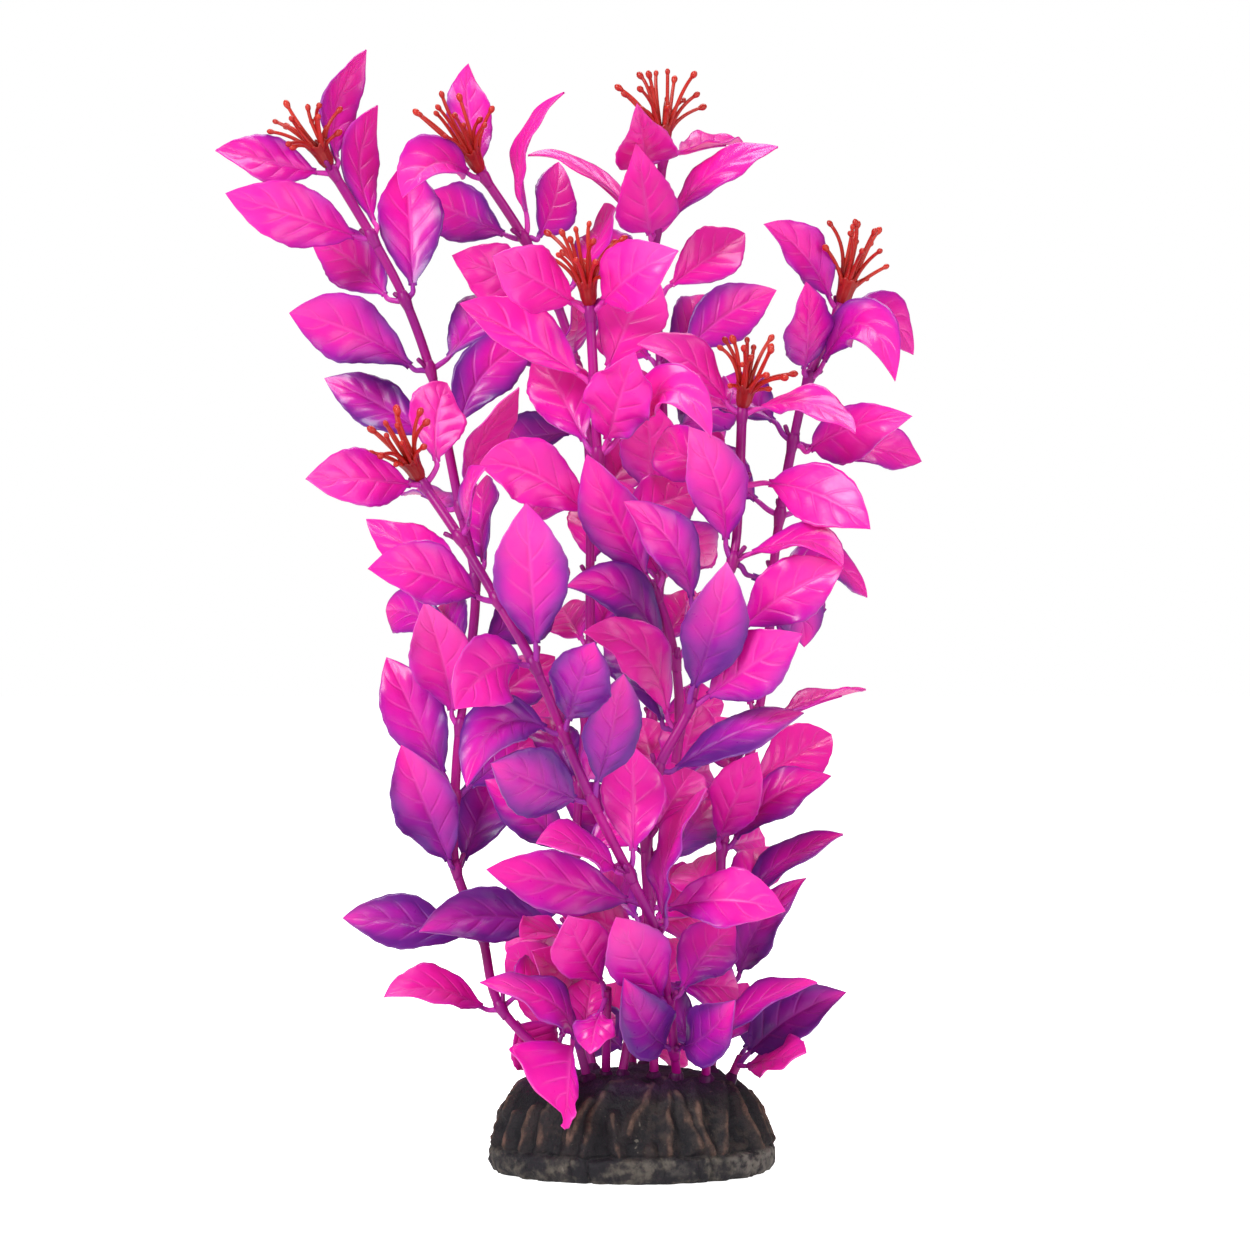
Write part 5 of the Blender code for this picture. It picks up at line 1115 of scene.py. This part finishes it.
def build_base(mat):
    """A cast mound: a chipped rim band below, and root-like veins running down from the top."""
    spokes, rings = 440, 120
    verts, faces, along, hollow_shade = [], [], [], []
    rest, out, share = [], [], []
    for i in range(rings):
        u = i / rings
        for k in range(spokes):
            a = 2 * math.pi * k / spokes
            if u < 0.70:
                h = u / 0.70 * 0.93
                r = base_outline(a, h) if h > 0.22 else base_outline(a, 0.22)
            else:
                w = 1 - (u - 0.70) / 0.30
                h = 0.93 + 0.07 * (1 - w ** 2.2)
                r = base_outline(a, 0.93) * w
            # The facets of the side's table are rounded off.
            if 0.22 < h < 0.93:
                r = (base_outline(a, max(h - 0.06, 0.)) + base_outline(a, min(h + 0.06, 0.94)) + 2 * r) / 4
            rest.append(Vector((r * math.cos(a), r * math.sin(a), h * BASE_H)))
            out.append(Vector((math.cos(a), math.sin(a), 0)))
            share.append(h)
    away = near_veins(np.array([p[:] for p in rest]) + np.array(
        [(0.0007 * noise.noise(p * 210), 0.0007 * noise.noise(p * 210 + Vector((7, 0, 0))), 0.) for p in rest]))
    for j, (p, q, h, d_vein) in enumerate(zip(rest, out, share, away)):
        z = p.z
        chip = noise.noise(q * 9 + Vector((0, 0, 5)))
        top_of_band = 0.0064 + 0.0007 * chip
        band = 1 - min(1., max(0., (z - top_of_band) / 0.0009))
        bulk = 0.75 + 0.5 * noise.noise(p * 150 + Vector((3, 0, 0)))
        vein = math.exp(-(d_vein / (0.00088 * bulk + 0.0002)) ** 2) * min(1., 0.8 + 1.2 * noise.noise(p * 190))
        hollow = min(1., max(0., (d_vein - 0.0006) / 0.0026))
        hollow = hollow * hollow * (3 - 2 * hollow)
        twig = max(0., 1 - abs(noise.noise(Vector((q.x * 17, q.y * 17, z * 62 + 3.1)))) * 9.) ** 1.5
        twig *= min(1., max(0., 0.5 + 3 * noise.noise(p * 75 + Vector((0, 4, 0)))))
        fine = noise.fractal(p * 480, 0.9, 2.1, 4)
        lump = noise.noise(p * 120)
        fade = 1 - 0.55 * min(1., max(0., (h - 0.90) / 0.10))
        d = (1 - band) * (fade * (0.00085 * vein + 0.0003 * twig - 0.00125 * hollow) + 0.0007 * lump
                          + 0.0003 * noise.noise(p * 260) + 0.0001) + 0.00025 * fine
        # The crown is uneven.
        d += 0.0016 * max(0., (h - 0.86) / 0.14) * noise.noise(p * 66 + Vector((0, 0, 2)))
        d += band * (0.0004 * lump + 0.0005 * noise.noise(p * 260) - 0.0001)
        # A step where the band meets the mound, and chips out of its upper edge.
        d -= 0.0006 * math.exp(-((z - top_of_band - 0.0006) / 0.0006) ** 2)
        if band > 0:
            d -= 0.0012 * max(0., noise.noise(q * 21 + Vector((z * 90, 0, 2))) - 0.22) * 2
            for x0 in CRACKS:
                if p.y < 0:
                    x1 = x0 + 0.0008 * noise.noise(Vector((x0 * 900, 0, z * 420)))
                    d -= 0.0009 * band * math.exp(-((p.x - x1) / 0.00045) ** 2)
        # The bottom edge is rounded and chipped.
        if z < 0.0030:
            d -= 0.0018 * (1 - z / 0.0030) ** 2 * (1 + 0.9 * noise.noise(q * 8))
        n = Vector((q.x * (1 - h ** 4), q.y * (1 - h ** 4), 0.15 + h ** 3)).normalized()
        if z < 0.0030:
            n = q
            d = min(d, 0.0002)
        p = p + n * d
        p.z = max(p.z, 0.) if j >= spokes else 0.
        verts.append(p)
        along.append(min(1., vein + 0.45 * twig) * (1 - band))
        # Painted shade: points deep in the hollows between the veins are marked to be darker.
        hollow_shade.append(hollow * (1 - band))
    top, low = len(verts), len(verts) + 1
    verts += [Vector((0, 0, BASE_H)), Vector((0, 0, 0))]
    along += [0., 0.]
    hollow_shade += [0., 0.]
    for i in range(rings - 1):
        for k in range(spokes):
            k2 = (k + 1) % spokes
            faces.append((i * spokes + k, i * spokes + k2, (i + 1) * spokes + k2, (i + 1) * spokes + k))
    for k in range(spokes):
        k2 = (k + 1) % spokes
        faces.append(((rings - 1) * spokes + k, (rings - 1) * spokes + k2, top))
        faces.append((k2, k, low))
    piece = Piece()
    # The painted shade of the hollows goes in as the across attribute.
    piece.add(verts, faces, 0, along, hollow_shade)
    # A collar of glue and sprayed plastic round each stem's foot.
    for key, path in PATHS.items():
        run = (path[-1] - path[-2]).normalized()
        foot = path[-1] - run * 0.012
        while foot.z > mound_height(foot.x, foot.y) and foot.z > 0.004:
            foot = foot + run * 0.0003
        n = mound_normal(foot.x, foot.y)
        side = n.cross(Vector((0, 1, 0))).normalized()
        other = n.cross(side)
        rings_f, around = 6, 26
        v, f = [], []
        size = 0.0021 + 0.0009 * hashed(key, 21)
        for i in range(rings_f):
            w = i / (rings_f - 1)
            for k in range(around):
                a = 2 * math.pi * k / around
                edge = 1 + 0.45 * noise.noise(Vector((math.cos(a) * 1.7, math.sin(a) * 1.7, foot.x * 300)))
                r = 0.0013 + (size * edge - 0.0013) * w ** 1.2
                p = foot + side * (math.cos(a) * r) + other * (math.sin(a) * r)
                for step in range(3):
                    p = p - n * ((p.z - mound_height(p.x, p.y)) * n.z)
                lift = 0.0010 * (1 - w) ** 2 + (0.0001 if w < 0.8 else -0.0013)
                v.append(p + n * (lift + 0.0002 * noise.noise(p * 600)))
        for i in range(rings_f - 1):
            for k in range(around):
                k2 = (k + 1) % around
                f.append((i * around + k2, i * around + k, (i + 1) * around + k, (i + 1) * around + k2))
        c = len(v)
        v += [foot + n * 0.0014, foot - n * 0.0026]
        for k in range(around):
            k2 = (k + 1) % around
            f.append((k, k2, c))
            f.append(((rings_f - 1) * around + k2, (rings_f - 1) * around + k, c + 1))
        piece.add(v, f, 1, 0., 0., 0.9, 0.85, hashed(key))
    return piece.build("base_cast", mat, ["base"])


# ---------------------------------------------------------------- materials
class Nodes:
    """Short hand for building a node tree."""

    def __init__(self, name):
        self.mat = bpy.data.materials.new(name)
        self.mat.use_nodes = True
        self.tree = self.mat.node_tree
        self.shader = self.tree.nodes["Principled BSDF"]

    def node(self, kind, **values):
        n = self.tree.nodes.new(kind)
        for k, v in values.items():
            setattr(n, k, v)
        return n

    def link(self, a, b):
        self.tree.links.new(a, b)

    def put(self, socket, value):
        if hasattr(value, "is_output"):
            self.link(value, socket)
        else:
            socket.default_value = value

    def math(self, op, a, b=0., clamp=False, c=None):
        n = self.node("ShaderNodeMath", operation=op, use_clamp=clamp)
        self.put(n.inputs[0], a)
        self.put(n.inputs[1], b)
        if c is not None:
            self.put(n.inputs[2], c)
        return n.outputs[0]

    def attr(self, name):
        return self.node("ShaderNodeAttribute", attribute_name=name).outputs["Fac"]

    def noise(self, scale, detail=3., rough=0.55, vector=None, distortion=0.):
        n = self.node("ShaderNodeTexNoise")
        n.inputs["Scale"].default_value = scale
        n.inputs["Detail"].default_value = detail
        n.inputs["Roughness"].default_value = rough
        n.inputs["Distortion"].default_value = distortion
        if vector is not None:
            self.link(vector, n.inputs["Vector"])
        return n.outputs["Fac"]

    def mix(self, fac, a, b, blend="MIX"):
        n = self.node("ShaderNodeMix", data_type="RGBA", blend_type=blend)
        self.put(n.inputs[0], fac)
        self.put(n.inputs[6], a if hasattr(a, "is_output") else (*a, 1))
        self.put(n.inputs[7], b if hasattr(b, "is_output") else (*b, 1))
        return n.outputs[2]

    def ramp(self, fac, low, high, smooth=True):
        n = self.node("ShaderNodeMapRange", interpolation_type="SMOOTHSTEP" if smooth else "LINEAR")
        self.put(n.inputs[0], fac)
        n.inputs[1].default_value = low
        n.inputs[2].default_value = high
        return n.outputs[0]

    def bump(self, height, distance, strength=1.0, normal=None):
        n = self.node("ShaderNodeBump")
        n.inputs["Distance"].default_value = distance
        n.inputs["Strength"].default_value = strength
        self.link(height, n.inputs["Height"])
        if normal is not None:
            self.link(normal, n.inputs["Normal"])
        return n.outputs["Normal"]


def srgb(code):
    """Linear colour of a six-figure code."""
    out = []
    for i in (0, 2, 4):
        c = int(code[i:i + 2], 16) / 255
        out.append(c / 12.92 if c <= 0.04045 else ((c + 0.055) / 1.055) ** 2.4)
    return tuple(out)


def leaf_material():
    """Pink plastic, sprayed with violet from the base and the margins inwards, with painted highlight toward each tip
    and along the veins.
    """
    t = Nodes("leaf_plastic_finish")
    s, x, p, pale, seed = (t.attr(k) for k in ("along", "across", "violet", "pale", "seed"))
    ax = t.math("ABSOLUTE", x)
    place = t.node("ShaderNodeTexCoord").outputs["Object"]
    shift = t.node("ShaderNodeVectorMath", operation="ADD")
    t.link(place, shift.inputs[0])
    comb = t.node("ShaderNodeCombineXYZ")
    t.link(seed, comb.inputs[0])
    t.link(seed, comb.inputs[1])
    t.link(comb.outputs[0], shift.inputs[1])
    where = shift.outputs[0]
    cloud = t.noise(85., 2.5, 0.5, where)
    soft = t.noise(30., 1.5, 0.5, where)
    # The plant is darker towards its foot.
    xyz = t.node("ShaderNodeSeparateXYZ")
    t.link(place, xyz.inputs[0])
    low = t.ramp(xyz.outputs["Z"], 0.24, 0.05)
    # How far the violet has reached: most at the base and the margins, more on one side.
    lop = t.math("MULTIPLY", x, t.math("MULTIPLY", t.math("SUBTRACT", t.math("FRACT", t.math("MULTIPLY", seed, 7.0)), 0.5), 0.34))
    mask = t.math("ADD", t.math("MULTIPLY", p, 0.74), t.math("MULTIPLY", t.math("SUBTRACT", 1., s), 0.60))
    edge = t.math("ADD", 0.24, t.math("MULTIPLY", p, 0.62))
    mask = t.math("ADD", mask, t.math("MULTIPLY", t.math("POWER", ax, 2.8), edge))
    mask = t.math("ADD", mask, t.math("MULTIPLY", t.math("SUBTRACT", cloud, 0.5), 0.62))
    mask = t.math("ADD", mask, t.math("MULTIPLY", t.math("SUBTRACT", soft, 0.5), 0.55))
    mask = t.math("ADD", mask, lop)
    mask = t.math("ADD", mask, t.math("MULTIPLY", low, 0.17))
    mask = t.math("SUBTRACT", mask, t.math("ADD", 0.50, t.math("MULTIPLY", t.ramp(s, 0.7, 1.0), 0.16)))
    spray = t.node("ShaderNodeValToRGB")
    t.link(mask, spray.inputs[0])
    stops = ((0.0, "F622AA"), (0.20, "E416A6"), (0.42, "C914A8"), (0.68, "981A9C"), (1.0, "641C86"))
    ramp = spray.color_ramp
    while len(ramp.elements) < len(stops):
        ramp.elements.new(0.5)
    for element, (at_, code) in zip(ramp.elements, stops):
        element.position = at_
        element.color = (*srgb(code), 1)
    colour = spray.outputs["Color"]
    # Lighter tip: painted highlight, stronger on leaves whose table row gives a higher s.
    tip_highlight = t.math("MULTIPLY", t.math("ADD", 0.25, pale), t.ramp(s, 0.45, 1.0))
    tip_highlight = t.math("MULTIPLY", tip_highlight, t.ramp(cloud, 0.25, 0.7))
    colour = t.mix(t.math("MULTIPLY", tip_highlight, 0.62), colour, srgb("FF66C4"))
    # Midrib and side veins, painted a little lighter than the blade as highlight along the creases.
    half = t.math("MULTIPLY", t.math("LESS_THAN", x, 0.0), 0.4)
    run = t.math("ADD", t.math("MULTIPLY", t.math("SUBTRACT", s, t.math("MULTIPLY", t.math("POWER", ax, 1.1), VEIN_LEAN)), VEINS), half)
    saw = t.math("ABSOLUTE", t.math("SUBTRACT", t.math("FRACT", t.math("ADD", run, 0.5)), 0.5))
    vein = t.math("MULTIPLY", t.ramp(saw, 0.13, 0.0), t.math("MULTIPLY", t.ramp(ax, 0.92, 0.35), t.ramp(s, 0.05, 0.2)))
    vein = t.math("MULTIPLY", vein, t.ramp(s, 0.95, 0.75))
    rib = t.math("MULTIPLY", t.ramp(ax, 0.10, 0.0), t.ramp(s, 1.0, 0.6))
    lines = t.math("MAXIMUM", t.math("MULTIPLY", vein, 0.8), rib)
    vein_highlight = t.mix(t.ramp(mask, 0.1, 0.8), srgb("FF63C6"), srgb("B23AA8"))
    colour = t.mix(t.math("MULTIPLY", lines, 0.30), colour, vein_highlight)
    # A thin frayed line along the margin, where the spray is thin.
    rim = t.math("MULTIPLY", t.ramp(ax, 0.95, 1.0), t.ramp(cloud, 0.4, 0.6))
    colour = t.mix(t.math("MULTIPLY", rim, 0.22), colour, srgb("B487C8"))
    t.link(colour, t.shader.inputs["Base Color"])
    rough = t.math("ADD", 0.33, t.math("MULTIPLY", t.math("SUBTRACT", t.noise(190., 3., 0.6, where), 0.5), 0.30))
    rough = t.math("ADD", rough, t.math("MULTIPLY", lines, 0.16))
    t.link(rough, t.shader.inputs["Roughness"])
    t.shader.inputs["Specular IOR Level"].default_value = 0.32
    t.shader.inputs["Coat Weight"].default_value = 0.18
    t.shader.inputs["Coat Roughness"].default_value = 0.20
    t.shader.inputs["IOR"].default_value = 1.47
    t.shader.inputs["Subsurface Weight"].default_value = 0.25
    t.shader.inputs["Subsurface Radius"].default_value = (1.0, 0.2, 0.6)
    t.shader.inputs["Subsurface Scale"].default_value = 0.0022
    height = t.math("ADD", t.math("MULTIPLY", lines, -1.0), t.math("MULTIPLY", t.noise(1100., 2., 0.5, where), 0.10))
    height = t.math("ADD", height, t.math("MULTIPLY", t.noise(300., 3., 0.55, where), 0.55))
    t.link(t.bump(height, 0.00030, 0.8), t.shader.inputs["Normal"])
    return t.mat


def stem_material():
    t = Nodes("stem_plastic_finish")
    place = t.node("ShaderNodeTexCoord").outputs["Object"]
    v, al = t.attr("violet"), t.attr("along")
    cloud = t.noise(60., 3., 0.55, place)
    colour = t.mix(t.ramp(cloud, 0.3, 0.7), srgb("AE0580"), srgb("960880"))
    colour = t.mix(t.math("MULTIPLY", v, 0.6), colour, srgb("78146F"))
    colour = t.mix(t.ramp(t.noise(22., 2., 0.5, place), 0.58, 0.74), colour, srgb("C01292"))
    # The glue at the stems' feet is near-black violet. On the leaves the same value gives painted highlight.
    colour = t.mix(t.attr("pale"), colour, srgb("2C0A34"))
    t.link(colour, t.shader.inputs["Base Color"])
    t.link(t.math("ADD", 0.30, t.math("MULTIPLY", cloud, 0.16)), t.shader.inputs["Roughness"])
    t.shader.inputs["Specular IOR Level"].default_value = 0.34
    t.shader.inputs["Subsurface Weight"].default_value = 0.12
    t.shader.inputs["Subsurface Radius"].default_value = (1.0, 0.3, 0.6)
    t.shader.inputs["Subsurface Scale"].default_value = 0.0012
    stretched = t.node("ShaderNodeMapping")
    stretched.inputs["Scale"].default_value = (1, 1, 0.25)
    t.link(place, stretched.inputs["Vector"])
    t.link(t.bump(t.noise(700., 3., 0.6, stretched.outputs[0]), 0.0002, 0.6), t.shader.inputs["Normal"])
    return t.mat


def flower_material():
    t = Nodes("flower_plastic_finish")
    place = t.node("ShaderNodeTexCoord").outputs["Object"]
    al, seed = t.attr("along"), t.attr("seed")
    cloud = t.noise(120., 2., 0.5, place)
    cup = t.mix(t.ramp(cloud, 0.3, 0.7), srgb("900A0E"), srgb("AA1612"))
    thread = t.mix(seed, srgb("B21A10"), srgb("CC3020"))
    colour = t.mix(al, cup, thread)
    t.link(colour, t.shader.inputs["Base Color"])
    t.link(t.math("ADD", 0.26, t.math("MULTIPLY", cloud, 0.14)), t.shader.inputs["Roughness"])
    t.shader.inputs["Subsurface Weight"].default_value = 0.18
    t.shader.inputs["Subsurface Radius"].default_value = (1.0, 0.15, 0.1)
    t.shader.inputs["Subsurface Scale"].default_value = 0.0012
    t.link(t.bump(t.noise(800., 2., 0.5, place), 0.00012, 0.5), t.shader.inputs["Normal"])
    return t.mat


def base_material():
    """Near-black casting with brown dry-brushed ridges, painted shade in the hollows between
    them, a chipped grey-brown rim and violet stain round the stems."""
    t = Nodes("cast_base_finish")
    place = t.node("ShaderNodeTexCoord").outputs["Object"]
    # along marks the ridges; across marks the hollows, which take painted shade.
    ridge, groove = t.attr("along"), t.attr("across")
    xyz = t.node("ShaderNodeSeparateXYZ")
    t.link(place, xyz.inputs[0])
    z = xyz.outputs["Z"]
    speck = t.noise(1000., 4., 0.65, place)
    grit = t.noise(380., 4., 0.6, place)
    patch = t.noise(120., 4., 0.6, place)
    broad = t.noise(42., 3., 0.55, place)
    body = t.mix(t.ramp(patch, 0.35, 0.7), srgb("1B171C"), srgb("2C2424"))
    brown = t.mix(t.ramp(grit, 0.35, 0.7), srgb("40302A"), srgb("6C5146"))
    dry = t.math("MULTIPLY", t.ramp(ridge, 0.20, 0.75), t.ramp(patch, 0.22, 0.50))
    # Painted shade: the hollows between the veins are darkened towards near black.
    colour = t.mix(t.math("MULTIPLY", t.ramp(groove, 0.35, 0.95), 0.80), body, srgb("0D0C13"))
    colour = t.mix(t.math("MULTIPLY", dry, 0.94), colour, brown)
    dust = t.math("MULTIPLY", t.ramp(broad, 0.50, 0.66), t.ramp(grit, 0.42, 0.62))
    colour = t.mix(t.math("MULTIPLY", dust, 0.30), colour, srgb("5A4C42"))
    band = t.ramp(z, 0.0074, 0.0060)
    rim = t.mix(t.ramp(grit, 0.36, 0.64), srgb("2D2A2C"), srgb("5E5850"))
    rim = t.mix(t.ramp(patch, 0.46, 0.58), srgb("1E1C22"), rim)
    rim = t.mix(t.math("MULTIPLY", t.ramp(broad, 0.52, 0.68), t.ramp(grit, 0.3, 0.6)), rim, srgb("78726A"))
    colour = t.mix(t.math("MULTIPLY", band, 0.92), colour, rim)
    colour = t.mix(t.math("MULTIPLY", t.ramp(speck, 0.64, 0.76), 0.30), colour, srgb("8A8070"))
    flake = t.math("MULTIPLY", t.ramp(t.noise(420., 2., 0.5, place), 0.71, 0.78), 0.42)
    colour = t.mix(flake, colour, srgb("8A8276"))
    stain = t.math("MULTIPLY", t.ramp(z, 0.0200, 0.0262), t.ramp(patch, 0.30, 0.56))
    colour = t.mix(t.math("MULTIPLY", stain, 0.62), colour, srgb("3C1044"))
    t.link(colour, t.shader.inputs["Base Color"])
    t.link(t.math("ADD", 0.50, t.math("MULTIPLY", patch, 0.30)), t.shader.inputs["Roughness"])
    t.shader.inputs["Specular IOR Level"].default_value = 0.32
    fine = t.math("ADD", t.math("MULTIPLY", speck, 0.5), grit)
    t.link(t.bump(fine, 0.0008, 0.9), t.shader.inputs["Normal"])
    return t.mat


# ---------------------------------------------------------------- set
def build_set():
    scene = bpy.context.scene
    scene.view_settings.view_transform = "Standard"
    scene.view_settings.look = "None"
    cam = bpy.data.cameras.new("camera")
    cam.sensor_width = 36.0
    cam.lens = 36.0 * SHEET / 1250.0
    cam.clip_start, cam.clip_end = 0.05, 20
    eye = bpy.data.objects.new("camera", cam)
    eye.location = EYE
    eye.rotation_euler = (math.pi / 2, 0, 0)
    scene.collection.objects.link(eye)
    scene.camera = eye

    world = bpy.data.worlds.new("studio")
    scene.world = world
    world.use_nodes = True
    nt = world.node_tree
    bg = nt.nodes["Background"]
    bg.inputs["Color"].default_value = (1, 1, 1, 1)
    bg.inputs["Strength"].default_value = 0.17
    seen = nt.nodes.new("ShaderNodeBackground")
    seen.inputs["Color"].default_value = (1, 1, 1, 1)
    seen.inputs["Strength"].default_value = 1.0
    mix = nt.nodes.new("ShaderNodeMixShader")
    path = nt.nodes.new("ShaderNodeLightPath")
    nt.links.new(path.outputs["Is Camera Ray"], mix.inputs[0])
    nt.links.new(bg.outputs[0], mix.inputs[1])
    nt.links.new(seen.outputs[0], mix.inputs[2])
    nt.links.new(mix.outputs[0], nt.nodes["World Output"].inputs["Surface"])

    def area(name, place, aim, size, power):
        data = bpy.data.lights.new(name, "AREA")
        data.shape = "RECTANGLE"
        data.size, data.size_y = size
        data.energy = power
        obj = bpy.data.objects.new(name, data)
        obj.location = place
        obj.rotation_euler = (Vector(aim) - Vector(place)).to_track_quat("-Z", "Y").to_euler()
        scene.collection.objects.link(obj)

    area("key", (-0.85, -1.05, 0.95), (0, 0, 0.15), (0.6, 0.6), 19.5)
    area("fill", (0.95, -1.0, 0.55), (0, 0, 0.15), (0.8, 0.8), 7.0)
    area("top", (0.1, 0.35, 1.2), (0, 0, 0.15), (0.9, 0.6), 8.5)

    floor = bpy.data.meshes.new("floor")
    floor.from_pydata([(-6, -6, 0), (6, -6, 0), (6, 6, 0), (-6, 6, 0)], [], [(0, 1, 2, 3)])
    t = Nodes("floor_finish")
    t.shader.inputs["Base Color"].default_value = (0.90, 0.90, 0.90, 1)
    t.shader.inputs["Emission Color"].default_value = (1, 1, 1, 1)
    seen = t.node("ShaderNodeLightPath").outputs["Is Camera Ray"]
    t.link(t.math("ADD", 0.20, t.math("MULTIPLY", seen, 0.87)), t.shader.inputs["Emission Strength"])
    t.shader.inputs["Roughness"].default_value = 0.9
    t.shader.inputs["Specular IOR Level"].default_value = 0.1
    floor.materials.append(t.mat)
    obj = bpy.data.objects.new("floor", floor)
    obj.location.z = -0.0002
    scene.collection.objects.link(obj)


def main():
    leaves = all_leaves()
    settle(leaves, fixed_things())
    leaf_mat, stem_mat = leaf_material(), stem_material()
    red, stone = flower_material(), base_material()
    for n, key in enumerate(STEMS, 1):
        build_stem(n, key, stem_mat)
        build_tiers(n, key, leaves, [leaf_mat, stem_mat])
        build_flower(n, key, red)
    build_shoots(leaves, [leaf_mat, stem_mat])
    build_base([stone, stem_mat])
    build_set()


main()
